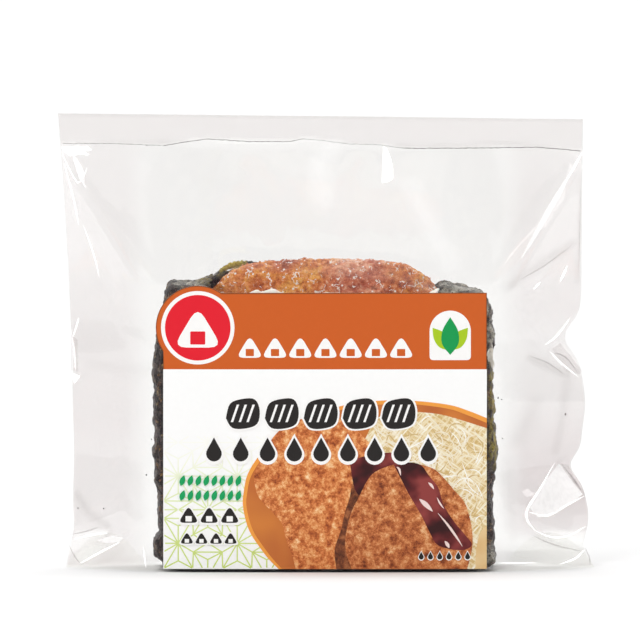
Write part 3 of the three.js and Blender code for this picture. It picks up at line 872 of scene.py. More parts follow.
def flat_shape(name, outlines, low, high, step=4.0, surface=None):
    """A flat shape from closed outlines of (x, z) points, between two heights above the label's film or
    another surface. It is cut into strips, so that it bends with what it lies on."""
    deselect_all()
    drawing = bpy.data.curves.new(name, "CURVE")
    drawing.dimensions = "2D"
    drawing.fill_mode = "BOTH"
    for outline in outlines:
        spline = drawing.splines.new("POLY")
        spline.points.add(len(outline) - 1)
        for point, (x, z) in zip(spline.points, outline):
            point.co = (x * MM, z * MM, 0, 1)
        spline.use_cyclic_u = True
    shape = drawn(name, drawing)
    for axis, way in ((0, (1, 0, 0)), (1, (0, 1, 0)))[:2 if surface else 1]:
        ends = [point[axis] for outline in outlines for point in outline]
        cut = math.ceil(min(ends) / step) * step
        while cut < max(ends):
            edit(shape)
            bpy.ops.mesh.bisect(plane_co=[cut * MM * w for w in way], plane_no=way)
            done()
            cut += step
    edit(shape)
    bpy.ops.mesh.remove_doubles(threshold=0.001 * MM)
    bpy.ops.mesh.extrude_region_move(TRANSFORM_OT_translate={"value": (0, 0, 1 * MM)})
    done()

    def lie(point):
        height = high if point.z > 0.5 else low
        return point.x, surface(point.x, point.y) - height if surface else label_y(point.x, height), point.y

    move_points(shape, lie)
    face_out(shape)
    return shape


def arc(x, z, radius, start, end, steps):
    """Points along an arc, from one angle to another in degrees."""
    turns = (math.radians(start + (end - start) * i / steps) for i in range(steps + 1))
    return [(x + radius * math.cos(t), z + radius * math.sin(t)) for t in turns]


def tab_arc(inward=0.0, top_short=0.0, side_short=0.0):
    """The round tab's edge, from the label's top to its left, or a line inside it that ends short of them."""
    side = math.degrees(math.acos((LABEL_LEFT - TAB_X) / TAB_RADIUS))
    top = math.degrees(math.asin((LABEL_TOP - TAB_Z) / TAB_RADIUS))
    return arc(TAB_X, TAB_Z, TAB_RADIUS - inward, top - top_short, 360 - side - side_short, 60)


def label_outline(bottom=LABEL_BOTTOM):
    """The label's die-cut outline: a rectangle with a round tab that stands out at its top left corner."""
    return [(LABEL_LEFT, bottom), (LABEL_RIGHT, bottom), (LABEL_RIGHT, LABEL_TOP), *tab_arc()]


def make_label():
    paper = flat_shape("label_paper", [label_outline()], 0.0, LABEL_THICKNESS)
    return finish_piece(paper, coated_paper("coated_label_paper", "#fdfdfc"), "label_paper", "label")


# ---------------------------------------------------------------- the label's print

def print_shape(name, outlines, material, layer):
    """One printed field of the label, from closed outlines. A hole is an outline inside another."""
    shape = flat_shape(name, outlines, LABEL_THICKNESS - PRINT_STEP, LABEL_THICKNESS + layer * PRINT_STEP)
    return finish_piece(shape, material, "label_paper")


def rounded(corners, radius, steps=4):
    """A closed outline with its corners rounded off."""
    outline = []
    for before, corner, after in zip(corners[-1:] + corners[:-1], corners, corners[1:] + corners[:1]):
        corner = Vector(corner)
        first = corner + (Vector(before) - corner).normalized() * radius
        last = corner + (Vector(after) - corner).normalized() * radius
        for i in range(steps + 1):
            t = i / steps
            outline.append(tuple(first.lerp(corner, t).lerp(corner.lerp(last, t), t)))
    return outline


def curve(points, steps=4):
    """Points along a smooth curve through the given ones."""
    ends = [points[0], *points, points[-1]]
    path = []
    for a, b, c, d in zip(ends, ends[1:], ends[2:], ends[3:]):
        for i in range(steps):
            t = i / steps
            path.append(tuple(
                0.5 * (2 * b[k] + (c[k] - a[k]) * t + (2 * a[k] - 5 * b[k] + 4 * c[k] - d[k]) * t * t
                       + (3 * b[k] - a[k] - 3 * c[k] + d[k]) * t ** 3) for k in (0, 1)))
    return path + [points[-1]]


def placed(outline, x, z, size, turn=0.0):
    """An outline drawn round (0, 0), moved to its place at its size."""
    cos, sin = math.cos(math.radians(turn)), math.sin(math.radians(turn))
    return [(x + size * (a * cos - b * sin), z + size * (a * sin + b * cos)) for a, b in outline]


RICE_BALL = rounded([(0, 0.62), (-0.66, -0.48), (0.66, -0.48)], 0.36)
RICE_BALL_BAND = rounded([(-0.2, -0.05), (-0.2, -0.4), (0.2, -0.4), (0.2, -0.05)], 0.03)
CUTLET_MARK = curve([(-0.56, -0.14), (-0.42, 0.34), (0, 0.5), (0.4, 0.48), (0.56, 0.12), (0.48, -0.32),
                     (0.1, -0.48), (-0.35, -0.46), (-0.56, -0.14)])[:-1]
CUTLET_SLITS = [[(c - 0.16, -0.27), (c - 0.08, -0.27), (c + 0.12, 0.31), (c + 0.04, 0.31)]
                for c in (-0.24, 0.02, 0.28)]
DROP_MARK = arc(0, -0.14, 0.32, -215, 35, 12) + [(0, 0.52)]
LEAF_MARK = (curve([(0, 0), (0.22, 0.3), (0.2, 0.66), (0, 1)])[:-1]
             + curve([(0, 1), (-0.2, 0.66), (-0.22, 0.3), (0, 0)])[:-1])


def print_row(name, marks, xs, z, size, material, layer):
    """A row of like marks, each a list of outlines drawn round (0, 0)."""
    return print_shape(name, [placed(mark, x, z, size) for x in xs for mark in marks], material, layer)


def evenly(first, last, count):
    return [first + (last - first) * i / (count - 1) for i in range(count)]


def hemp_leaf_lines():
    """The lines of the traditional hemp-leaf pattern, as pairs of (x, z) points. Each star has six tips and
    six notches, and its diagonal neighbours share them."""
    lines, seen = [], set()

    def add(start, end):
        middle = (round(start[0] + end[0], 1), round(start[1] + end[1], 1))
        if middle not in seen:
            seen.add(middle)
            lines.append((start, end))

    for column in range(-1, 5):
        for row in range(-2, 3):
            if (column + row) % 2 == 0:
                continue
            star = (HEMP_LEAF_LEFT + column * HEMP_LEAF_ACROSS, HEMP_LEAF_MIDDLE + row * HEMP_LEAF_UP)
            rim = []
            for step in range(12):
                turn = math.radians(30 * step)
                reach = HEMP_LEAF_NOTCH if step % 2 else HEMP_LEAF_TIP
                rim.append((star[0] + reach * math.cos(turn), star[1] + reach * math.sin(turn)))
            for point, after in zip(rim, rim[1:] + rim[:1]):
                add(star, point)
                add(point, after)
            if row != 0:
                low = 2 if row < 0 else 8
                add(rim[low], rim[low + 2])
    return lines


def print_lines(name, paths, width, material, layer, tapered=False):
    """Fine printed lines in one mesh: each path of (x, z) points becomes a thin strip of ink."""
    points, faces = [], []
    low, high = LABEL_THICKNESS - PRINT_STEP, LABEL_THICKNESS + layer * PRINT_STEP
    for path in paths:
        first, last = len(points), len(path) - 1
        for i, (x, z) in enumerate(path):
            before, after = path[max(i - 1, 0)], path[min(i + 1, last)]
            half = width / 2 * (max(0.15, math.sin(math.pi * i / last)) if tapered else 1)
            across = (before[1] - after[1]) / math.dist(before, after) * half
            up = (after[0] - before[0]) / math.dist(before, after) * half
            for way, height in ((-1, low), (1, low), (1, high), (-1, high)):
                points.append(Vector((x + way * across, label_y(x, height), z + way * up)) * MM)
        faces += [(first, first + 1, first + 2, first + 3), tuple(first + 4 * last + k for k in (3, 2, 1, 0))]
        for start in range(first, first + 4 * last, 4):
            faces += [(start + k, start + (k + 1) % 4, start + 4 + (k + 1) % 4, start + 4 + k)
                      for k in range(4)]
    deselect_all()
    lines = meshed(name, points, faces)
    face_out(lines)
    return finish_piece(lines, material, "label_paper")


def make_hemp_leaf():
    """The hemp-leaf pattern at the label's lower left, in thin green lines that fade upwards."""
    half = HEMP_LEAF_LINE / 2
    paths = []
    for start, end in hemp_leaf_lines():
        cut = [(start[0] + (end[0] - start[0]) * i / 24,
                start[1] + (end[1] - start[1]) * i / 24) for i in range(25)]
        kept = [(x, z) for x, z in cut
                if LABEL_LEFT + half <= x <= HEMP_LEAF_RIGHT and LABEL_BOTTOM + half <= z <= HEMP_LEAF_TOP]
        if len(kept) > 1:
            paths.append([kept[0], kept[-1]])
    print_lines("print_hemp_leaf", paths, HEMP_LEAF_LINE, fading_ink(), 1)


def make_header_print():
    """The orange header with a thin brown line along its outer edge as painted shade, its round badge, a row
    of marks and a tile with three leaves.
    """
    white = coated_paper("white_ink", "#fbfaf8")
    print_shape("print_header", [label_outline(HEADER_BOTTOM)], coated_paper("orange_ink", "#ce5e1e"), 1)
    # Painted shade: a thin brown line along the header's outer edge, for the shade at the label's cut edge.
    line = HEADER_EDGE_SHADE
    rim = [(LABEL_LEFT, HEADER_BOTTOM), (LABEL_LEFT + line, HEADER_BOTTOM),
           *reversed(tab_arc(line, 1.5, 1.2)), (LABEL_RIGHT - line, LABEL_TOP - line),
           (LABEL_RIGHT - line, HEADER_BOTTOM), (LABEL_RIGHT, HEADER_BOTTOM), (LABEL_RIGHT, LABEL_TOP),
           *tab_arc()]
    print_shape("print_header_edge_shade", [rim], coated_paper("edge_shade_ink", "#8f4a1e"), 2)
    print_shape("print_badge_ring", [arc(TAB_X, TAB_Z, BADGE_RADIUS, 0, 354, 59)], white, 2)
    print_shape("print_badge", [arc(TAB_X, TAB_Z, BADGE_RADIUS - BADGE_RING, 0, 354, 59)],
                coated_paper("red_ink", "#e5172b"), 3)
    print_row("print_badge_mark", [RICE_BALL, RICE_BALL_BAND], [TAB_X], TAB_Z - 0.4, 8.6, white, 4)
    print_row("print_header_marks", [RICE_BALL, RICE_BALL_BAND], evenly(-17.2, 17.4, 7), 51.2, 4.7, white, 2)
    corners = rounded([(TILE_X - TILE_HALF, TILE_BOTTOM), (TILE_X + TILE_HALF, TILE_BOTTOM),
                       (TILE_X + TILE_HALF, TILE_ARCH), (TILE_X - TILE_HALF, TILE_ARCH)], TILE_ROUND)
    lower_corners = corners[:len(corners) // 2]
    print_shape("print_tile", [lower_corners + arc(TILE_X, TILE_ARCH, TILE_HALF, 0, 180, 24)], white, 2)
    print_shape("print_tile_leaves", [placed(LEAF_MARK, TILE_X, 50.6, 6.6, turn) for turn in (38, -38)],
                coated_paper("light_green_ink", "#aacb1f"), 3)
    print_shape("print_tile_stem", [placed(LEAF_MARK, TILE_X, 49.6, 8.6)],
                coated_paper("green_ink", "#0c9a4e"), 4)


def stroke(points, width):
    """The outline of a brush stroke along a curve: pointed at both ends, widest in its middle."""
    path = [Vector(point) for point in curve(points, 3)]
    sides = ([], [])
    for i, point in enumerate(path):
        along = (path[min(i + 1, len(path) - 1)] - path[max(i - 1, 0)]).normalized()
        half = width / 2 * max(0.12, math.sin(math.pi * i / (len(path) - 1)))
        for side, way in zip(sides, (-1, 1)):
            side.append((point.x - way * half * along.y, point.y + way * half * along.x))
    return sides[0] + sides[1][::-1]


def make_picture_print():
    """A serving picture in plain fields of print: a plate, two fried cutlets, sauce and shredded cabbage."""
    right, foot = LABEL_RIGHT, LABEL_BOTTOM
    rim = curve([(-10.6, foot), (-12.9, 2.9), (-15.1, 5.8), (-17, 8.7), (-18.1, 11.6), (-18.8, 15.3),
                 (-18.6, 18.2), (-17.7, 22.3), (-15, 26.6), (-10.5, 31), (-4, 35.2), (4, 38), (12, 39.1),
                 (20, 39.1), (28.1, 38.2), (32.5, 36.9), (right, 35.1)])
    print_shape("print_plate_rim", [rim + [(right, foot)]], coated_paper("bright_orange_ink", "#f2a044"), 2)
    inner = curve([(-9.8, foot), (-12.1, 3.1), (-14.3, 6), (-16.2, 8.9), (-17.3, 11.8), (-18, 15.3),
                   (-17.8, 18), (-16.9, 21.9), (-14.2, 26), (-9.8, 30.2), (-3.5, 34.4), (4, 37.1),
                   (12, 38.2), (20, 38.3), (28, 37.3), (32.3, 35.9), (right, 34.0)])
    print_shape("print_plate", [inner + [(right, foot)]],
                printed_picture("plate_ink", 60, 2, [(0.35, "#b96331"), (0.65, "#d37f38")]), 3)
    cabbage = curve(CABBAGE_TOP)
    print_shape("print_cabbage", [cabbage + [(right, foot), (20, foot)]], cabbage_ink(), 4)
    make_cabbage_shreds()
    bright = [(0.36, "#712d12"), (0.44, "#b45c2c"), (0.5, "#d67d43"), (0.56, "#e9a666"), (0.64, "#fddcb0")]
    crumbed = [(0.36, "#5c2410"), (0.44, "#9b4f27"), (0.5, "#bf6c3b"), (0.56, "#d88f56"), (0.64, "#f3c998")]
    shaded = [(0.34, "#43200f"), (0.46, "#6b3820"), (0.54, "#8a4d2c"), (0.65, "#a9683f")]
    back = curve([(-6.7, foot), (-7.5, 3.6), (-8.9, 7.3), (-9.8, 10.9), (-12.2, 13.8), (-15, 16.8),
                  (-16, 19.7), (-16.1, 22.5), (-14.4, 26), (-12.4, 30), (-9.5, 33), (-4.5, 35.2), (1, 35.6),
                  (5.6, 33.8), (9, 30.6), (12, 27), (12.6, 20), (12, 10), (11, foot)])
    print_shape("print_cutlet_back", [back],
                printed_picture("crumbed_back_ink", 420, 9, bright, roughness=0.82), 6)
    shade = curve([(2.6, foot), (2.2, 5), (3.6, 9.4), (4.6, 13.8), (5.6, 16.8), (6.4, 20.4), (8.6, 23.4),
                   (13, 25)])
    print_shape("print_cutlet_shade", [shade + [(13, foot)]],
                printed_picture("shaded_crumb_ink", 700, 7, shaded), 7)
    pool = curve([(5.6, 25.4), (11.6, 27), (17.6, 27), (18.4, 24.4), (12.5, 21.6), (9.2, 17.6), (6.9, 18.6),
                  (5.6, 25.4)])
    sauce = printed_picture("sauce_ink", 150, 2, [(0.36, "#340d10"), (0.5, "#5f1d20"), (0.66, "#8f3d3a")])
    print_shape("print_sauce_pool", [pool[:-1]], sauce, 8)
    front = curve([(6.1, foot), (4.7, 5), (4.9, 9.4), (6.1, 13.8), (7.6, 16.8), (9.4, 20.4), (11.4, 22.8),
                   (15.6, 24.5), (19.6, 24.9), (24.5, 23.7), (26.8, 21.8), (29.4, 18.8), (31.8, 16),
                   (33, 12.7), (33.7, 8.7), (33.6, 5), (32.5, foot)])
    print_shape("print_cutlet_front", [front],
                printed_picture("crumbed_front_ink", 420, 9, crumbed, roughness=0.82), 9)
    stream = curve([(15.7, 24.5), (18.8, 25), (21.9, 24.4), (23.8, 21.9), (25.9, 19.2), (27.1, 15.3),
                    (29.6, 11.3), (31.8, 8.7), (33.6, 6.1), (31, 4.9), (25.9, 6), (23.9, 9.1), (21.9, 13.1),
                    (19.3, 17.5), (17.4, 21.2), (15.7, 24.5)])
    print_shape("print_sauce", [stream[:-1]], sauce, 10)
    shine = [stroke(points, width) for points, width in (
        ([(16.4, 24.0), (17.0, 23.4), (17.3, 22.0)], 0.5), ([(23.6, 20.4), (24.3, 19.8), (24.9, 18.9)], 0.6),
        ([(21.6, 16.6), (23, 15.4), (24.6, 13.8)], 1.1),
        ([(25.8, 13.4), (28, 10.8), (30, 8), (31.4, 5.8)], 0.55),
        ([(27.4, 7), (28, 6.2), (28.4, 5.4)], 0.8), ([(25.6, 17), (26.3, 15.6), (27.2, 14.4)], 0.4))]
    print_shape("print_sauce_shine", shine, coated_paper("pale_pink_ink", "#f3dcd5"), 11)
    wedge = curve([(34.4, foot), (34.6, 5), (35.4, 8.6), (right, 10.6)])
    print_shape("print_cream_wedge", [wedge + [(right, foot)]],
                printed_picture("cream_ink", 90, 2, [(0.35, "#d9ab6c"), (0.65, "#ecd2a0")]), 6)


def make_cabbage_shreds():
    """Long fine shreds in three inks, strewn over the cabbage's field. Some stand out over its edge."""
    draw = random.Random(23)
    for name, colour, layer, count, width, over in CABBAGE_SHREDS:
        paths = []
        for _ in range(count):
            x, z, length = draw.uniform(12, 36), draw.uniform(9, 36), draw.uniform(2.5, 6.5)
            turn, bend = draw.choice((25, 60, 115, 150)) + draw.uniform(-20, 20), draw.uniform(-0.3, 0.3)
            shred = placed([(-0.5, 0), (-0.2, bend), (0.2, 0.6 * bend), (0.5, -bend)], x, z, length, turn)
            if all(a < 36.7 and 9 < b < through(CABBAGE_TOP, a) + over for a, b in shred):
                paths.append(curve(shred, 3))
        print_lines(f"print_shreds_{name}", paths, width, coated_paper(f"{name}_cabbage_ink", colour),
                    layer, True)


def make_label_marks():
    """Rows of plain marks in black with a white rim, and two rows of green leaves."""
    white, black = coated_paper("white_halo_ink", "#fcfbf9"), coated_paper("black_ink", "#231f1e")
    green = coated_paper("leaf_green_ink", "#12a05c")
    rows = (
        ("striped", [CUTLET_MARK, *CUTLET_SLITS], evenly(-18.8, 16.8, 5), 36.1, 6.9),
        ("drop", [DROP_MARK], evenly(-25.4, 23.6, 9), 27.8, 5.6),
        ("rice_ball", [RICE_BALL, RICE_BALL_BAND], evenly(-31.2, -21.8, 3), 12.9, 3.6),
        ("small_rice_ball", [RICE_BALL, RICE_BALL_BAND], evenly(-31.6, -21.6, 4), 7.6, 2.5),
        ("small_drop", [DROP_MARK], evenly(22, 32.6, 6), 3.6, 1.8),
    )
    for name, marks, xs, z, size in rows:
        halo = 1.11 if size > 6 else 1.3
        print_row(f"print_{name}_halo", marks[:1], xs, z, size * halo, white, 11)
        print_row(f"print_{name}_marks", marks, xs, z, size, black, 12)
    for name, z in (("upper", 19.6), ("lower", 16.2)):
        leaves = [placed(LEAF_MARK, x, z, 2.6, -18) for x in evenly(-33, -20.2, 8)]
        print_shape(f"print_{name}_leaves", leaves, green, 12)


# ---------------------------------------------------------------- the rice sandwich

def ragged(a, b):
    """The unevenness of a torn edge."""
    return noise.noise(Vector((a / 2.1, b / 2.1, 3.0))) + 0.6 * noise.noise(Vector((a / 0.8, b / 0.8, 8.0)))


def in_mouth(point):
    """Whether a point of the wrap falls in its open mouth or in the hole torn in its right end."""
    rough = 0.8 * ragged(point.x + point.z, point.y)
    if MOUTH_LEFT + rough < point.x < MOUTH_RIGHT + rough and point.y < MOUTH_BACK + rough:
        return point.z > WRAP_FRONT_EDGE + 0.6 * rough
    if point.x > RICE_HALF_WIDTH:
        return math.hypot((point.y - TEAR_Y) / TEAR_HALF_WIDTH,
                          (point.z - TEAR_Z) / TEAR_HALF_HEIGHT) < 1 + 0.35 * rough
    return False


def wrap_relief(point):
    """How far the seaweed stands out: rice grains press through it, and it is crinkled."""
    cells = noise.voronoi(point / 3.1)[0]
    grains = 0.6 * clamp01((cells[1] - cells[0]) * 1.6)
    crinkle = noise.ridged_multi_fractal(Vector((point.x / 6, point.y / 6, point.z / 11)), 1.0, 2.1, 3, 1.0,
                                         2.0)
    fine = noise.noise(point / 0.95)
    return grains - 0.5 + 0.45 * (crinkle - 1.0) + 0.32 * fine


def wrap_marks(point):
    """How wet and how thin the seaweed is: the folds, the right upper corner and the foot are wet, and the
    sheet is thin along the left fold, at its crest and in the right end. Where it is wet the material paints
    a pale sheen, and where it is thin the yellow of light shining through."""
    spots = {name: math.prod(clamp01((getattr(point, axis) - start) / (end - start))
                             for axis, start, end in ramps)
             for name, ramps in WRAP_SPOTS.items()}
    near_front = clamp01((-4 - point.y + 2.5 * noise.noise(point / 4)) / 5)
    corner = spots["corner"] * max(near_front, spots["corner_top"])
    foot_fold = spots["foot"] * bump(point.z - 3.6, 1.8) * near_front
    wet = clamp01(0.65 + 1.5 * noise.noise(point / 2.2)) * max(spots["left_fold"], spots["right_fold"],
                                                               corner)
    thin = clamp01(0.7 + 2 * noise.noise(point / 1.5)) * max(
        0.35 * spots["inner_edge"], 0.6 * spots["right_end"] * near_front)
    return max(foot_fold, wet), max(2 * spots["crest"], thin)


def make_seaweed():
    """One sheet of seaweed round the front, foot, back and ends, folded in over the rice at both ends."""
    deselect_all()
    bpy.ops.mesh.primitive_cube_add(size=MM, location=(0, 0, WRAP_STOCK_HEIGHT / 2 * MM),
                                    scale=(2 * WRAP_HALF_WIDTH, 2 * WRAP_HALF_DEPTH, WRAP_STOCK_HEIGHT))
    wrap = named("seaweed_wrap")
    edit(wrap)
    bpy.ops.mesh.bevel(offset=WRAP_ROUND * MM, segments=5, profile=0.5)
    done()
    apply_modifier(wrap, "REMESH", mode="VOXEL", voxel_size=WRAP_VOXEL * MM)

    def crinkled(point, normal):
        side = WRAP_LEFT if point.x < 0 else WRAP_RIGHT
        corner = max(0.0, WRAP_ROUND - point.z, point.z - (WRAP_STOCK_HEIGHT - WRAP_ROUND))
        stock = WRAP_HALF_WIDTH - WRAP_ROUND + math.sqrt(max(0.0, WRAP_ROUND ** 2 - corner ** 2))
        point.x *= (through(side, point.z) - 0.3) / stock
        lift = clamp01((point.z - WRAP_FOLD_START) / (WRAP_STOCK_HEIGHT - WRAP_FOLD_START))
        point.z += lift * (through(WRAP_TOP, point.x) - WRAP_STOCK_HEIGHT)
        point += normal * wrap_relief(point)
        room = film_at(point.x, point.z, FRONT_FOLDS if point.y < 0 else BACK_FOLDS)[0] - WRAP_CLEARANCE
        point.y = max(-room, min(room, point.y))
        point.z = max(0.5, point.z)
        return point

    relieve(wrap, crinkled)
    edit(wrap, "NONE")
    done()
    for vertex in wrap.data.vertices:
        vertex.select = in_mouth(vertex.co / MM)
    bpy.ops.object.mode_set(mode="EDIT")
    bpy.ops.mesh.delete(type="VERT")
    bpy.ops.mesh.select_all(action="SELECT")
    bpy.ops.mesh.normals_make_consistent(inside=False)
    bpy.ops.mesh.select_all(action="DESELECT")
    bpy.ops.mesh.select_non_manifold(extend=False)
    bpy.ops.mesh.vertices_smooth(factor=0.5, repeat=2)
    done()
    apply_modifier(wrap, "SOLIDIFY", thickness=WRAP_SHEET * MM, offset=-1.0)
    for vertex, wet, thin in zip(wrap.data.vertices, *new_marks(wrap, "wet", "thin")):
        wet.value, thin.value = wrap_marks(vertex.co / MM)
    smooth(wrap)
    return finish_piece(wrap, seaweed(), "nori")


def make_seaweed_lip():
    """The sheet's thin edge, curled up behind the cutlet's left end: painted yellow-green in its middle, as
    light shining through, and a painted pale sheen at its left end.
    """
    deselect_all()
    bpy.ops.mesh.primitive_grid_add(x_subdivisions=60, y_subdivisions=8, size=2 * MM)
    lip = named("seaweed_lip")
    path = curve(SEAWEED_LIP, 8)

    def lip_place(point):
        along = (point.x + 1) / 2 * (len(path) - 1)
        first = min(int(along), len(path) - 2)
        start, end = Vector(path[first]), Vector(path[first + 1])
        way = (end - start).normalized()
        middle = start.lerp(end, along - first)
        width = SEAWEED_LIP_WIDTH * math.sin(math.pi * clamp01((point.x + 1.02) / 2.04)) ** 0.8
        crinkle = noise.noise(Vector((along / 1.7, point.y / 1.2, 5)))
        across = point.y * width / 2 + 0.35 * crinkle
        curl = 0.9 * point.y ** 2 + 0.5 * noise.noise(Vector((along / 1.1, point.y, 9)))
        return middle.x - way.y * across, SEAWEED_LIP_Y + curl, middle.y + way.x * across

    move_points(lip, lip_place)
    apply_modifier(lip, "SOLIDIFY", thickness=WRAP_SHEET * MM, offset=0.0)
    for vertex, wet, thin in zip(lip.data.vertices, *new_marks(lip, "wet", "thin")):
        x = vertex.co.x / MM
        # Painted light: the middle takes the yellow of light shining through, the left end the pale sheen.
        thin.value = 2.5 * clamp01((x + 24.6) / 1.2) * clamp01((-18 - x) / 1.2)
        wet.value = 0.9 * clamp01((-24.6 - x) / 1.2)
    smooth(lip)
    return finish_piece(lip, seaweed(), "nori")


def slab_top(x, y):
    """How high the rice lies: the back slab is the higher one, and both are lower under the wrap's folds."""
    return (RICE_FRONT_TOP if y < 0 else RICE_BACK_TOP) - 2.4 * clamp01((abs(x) - 22) / 4)


def make_rice_core():
    """The two slabs of rice between the seaweed and the cutlet, with the grains' relief."""
    deselect_all()
    slabs = []
    for side in (-1, 1):
        bpy.ops.mesh.primitive_cube_add(size=MM, location=(0, side * (RICE_INNER + RICE_OUTER) / 2 * MM,
                                                           (RICE_FOOT + RICE_STOCK_TOP) / 2 * MM),
                                        scale=(2 * RICE_HALF_WIDTH, RICE_OUTER - RICE_INNER,
                                               RICE_STOCK_TOP - RICE_FOOT))
        slab = named("rice_slabs")
        apply_modifier(slab, "REMESH", mode="VOXEL", voxel_size=RICE_VOXEL * MM)
        slabs.append(slab)
    deselect_all()
    for slab in slabs:
        slab.select_set(True)
    bpy.context.view_layer.objects.active = slabs[0]
    bpy.ops.object.join()
    core = named("rice_slabs")

    def grained(point, normal):
        if point.z > RICE_LOW:
            share = (point.z - RICE_LOW) / (RICE_STOCK_TOP - RICE_LOW)
            point.z += (slab_top(point.x, point.y) - RICE_STOCK_TOP) * share
        cells = noise.voronoi(point / 3.0)[0]
        return point + normal * (0.7 * clamp01((cells[1] - cells[0]) * 1.5) - 0.5)

    relieve(core, grained)
    smooth(core)
    return finish_piece(core, cooked_rice("cooked_rice_core"), "rice")


def scatter(name, pattern, places):
    """One mesh of many copies of a small one. Each place is (centre in mm, turn, scale)."""
    corners = [vertex.co.copy() for vertex in pattern.data.vertices]
    sides = [tuple(face.vertices) for face in pattern.data.polygons]
    points, faces = [], []
    for centre, turn, scale in places:
        first = len(points)
        points += [Vector(centre) * MM + turn @ Vector((c.x * scale, c.y * scale, c.z * scale))
                   for c in corners]
        faces += [tuple(first + i for i in face) for face in sides]
    piece = meshed(name, points, faces)
    bpy.data.objects.remove(pattern)
    smooth(piece)
    return piece


def make_rice_grains():
    """Loose cooked grains on top of both slabs, and in the hole torn in the seaweed's right end."""
    deselect_all()
    bpy.ops.mesh.primitive_uv_sphere_add(segments=8, ring_count=7, radius=MM)
    grain = named("rice_grain")
    edit(grain)
    bpy.ops.transform.resize(value=GRAIN_HALF_SIZE)
    done()
    move_points(grain, lambda p: (p.x, p.y, p.z + 0.05 * p.x * p.x))
    draw = random.Random(31)
    places = []

    def lay(x, y, z, lean):
        turn = Euler((draw.uniform(-lean, lean), draw.uniform(-lean, lean), draw.uniform(0, math.pi)))
        places.append(((x, y, z), turn.to_matrix(), draw.uniform(*GRAIN_SIZES)))

    for layer in range(3):
        for side in (-1, 1):
            for column in range(18):
                for row in range(4):
                    x = -32.5 + 3.82 * column + draw.uniform(-1.2, 1.2)
                    y = side * min(12.3, RICE_INNER + 1.3 + 1.8 * row + draw.uniform(-0.8, 0.8))
                    z = slab_top(x, y) - 0.9 + 0.6 * layer + draw.uniform(-0.5, 0.4)
                    if side > 0 or layer < 2:
                        lay(x, y, z, 0.5)
    for row in range(5):
        for column in range(8):
            y = TEAR_Y - 8.4 + 2.4 * column + draw.uniform(-0.8, 0.8)
            z = TEAR_Z - 3.4 + 1.7 * row + draw.uniform(-0.5, 0.5)
            turn = Euler((draw.uniform(0, math.pi), math.pi / 2 + draw.uniform(-0.5, 0.5),
                          draw.uniform(-0.5, 0.5)))
            inward = 2.6 * clamp01((abs(y) - 10.5) / 4) ** 2
            places.append(((TEAR_GRAINS_X - inward + draw.uniform(-0.4, 0.3), y, z), turn.to_matrix(),
                           draw.uniform(*GRAIN_SIZES)))
    grains = scatter("rice_grains", grain, places)
    return finish_piece(grains, cooked_rice("cooked_rice_grain"), "rice")


def cutlet_place(direction, swell=1.0):
    """A point of the cutlet's crumbed surface, from a direction out of its middle."""
    round_ = math.hypot(direction.x, direction.z)
    cos, sin = (direction.x / round_, direction.z / round_) if round_ > 1e-9 else (1, 0)
    power = CUTLET_SQUARENESS
    squared = (abs(cos) / CUTLET_HALF_WIDTH) ** power + (abs(sin) / CUTLET_HALF_HEIGHT) ** power
    outline = squared ** (-1 / power)
    ring = round_ ** 0.8
    thick = math.copysign(abs(direction.y) ** 0.8, direction.y) * CUTLET_HALF_THICK
    return Vector((CUTLET_MIDDLE_X + outline * ring * cos * swell, thick * swell,
                   CUTLET_MIDDLE_Z + outline * ring * sin * swell))


def cutlet_relief(point):
    """Lumps of meat and clumps of wet crumb on the cutlet."""
    lumps = noise.noise(point / 7.0 + Vector((1.7, 0, 4)))
    cells = noise.voronoi(point / 2.6)[0]
    crumb = clamp01((cells[1] - cells[0]) * 1.2)
    small = noise.turbulence(point / 1.2, 2, False)
    return 0.8 * lumps + 0.42 * crumb + 0.36 * small - 0.55


def make_cutlet():
    """The fried cutlet, standing between the slabs of rice, in a coat of sauce."""
    deselect_all()
    bpy.ops.mesh.primitive_ico_sphere_add(subdivisions=7, radius=MM)
    cutlet = named("fried_cutlet")
    move_points(cutlet, cutlet_place)
    relieve(cutlet, lambda point, normal: point + normal * cutlet_relief(point))
    smooth(cutlet)
    return finish_piece(cutlet, glazed_cutlet(), "cutlet")


def make_crumbs():
    """Separate flakes of crumb, pressed into the cutlet's upper edge."""
    deselect_all()
    bpy.ops.mesh.primitive_ico_sphere_add(subdivisions=1, radius=MM)
    flake = named("crumb")
    edit(flake)
    bpy.ops.transform.resize(value=(1.0, 0.72, 0.5))
    done()
    draw = random.Random(12)
    move_points(flake, lambda p: p * draw.uniform(0.75, 1.2))
    places = []
    for _ in range(CRUMB_COUNT):
        angle, across = draw.uniform(0.1, math.pi - 0.1), draw.uniform(-0.95, 0.95)
        flat = math.sqrt(1 - across * across)
        point = cutlet_place(Vector((math.cos(angle) * flat, across, math.sin(angle) * flat)))
        outward = Vector((point.x - CUTLET_MIDDLE_X, 4 * point.y, point.z - CUTLET_MIDDLE_Z)).normalized()
        turn = Euler((draw.uniform(0, 6.3), draw.uniform(0, 6.3), draw.uniform(0, 6.3)))
        places.append((point + outward * (cutlet_relief(point) + 0.05), turn.to_matrix(),
                       draw.uniform(*CRUMB_SIZES)))
    crumbs = scatter("fried_crumbs", flake, places)
    return finish_piece(crumbs, glazed_cutlet("glazed_bread_crumb"), "cutlet")


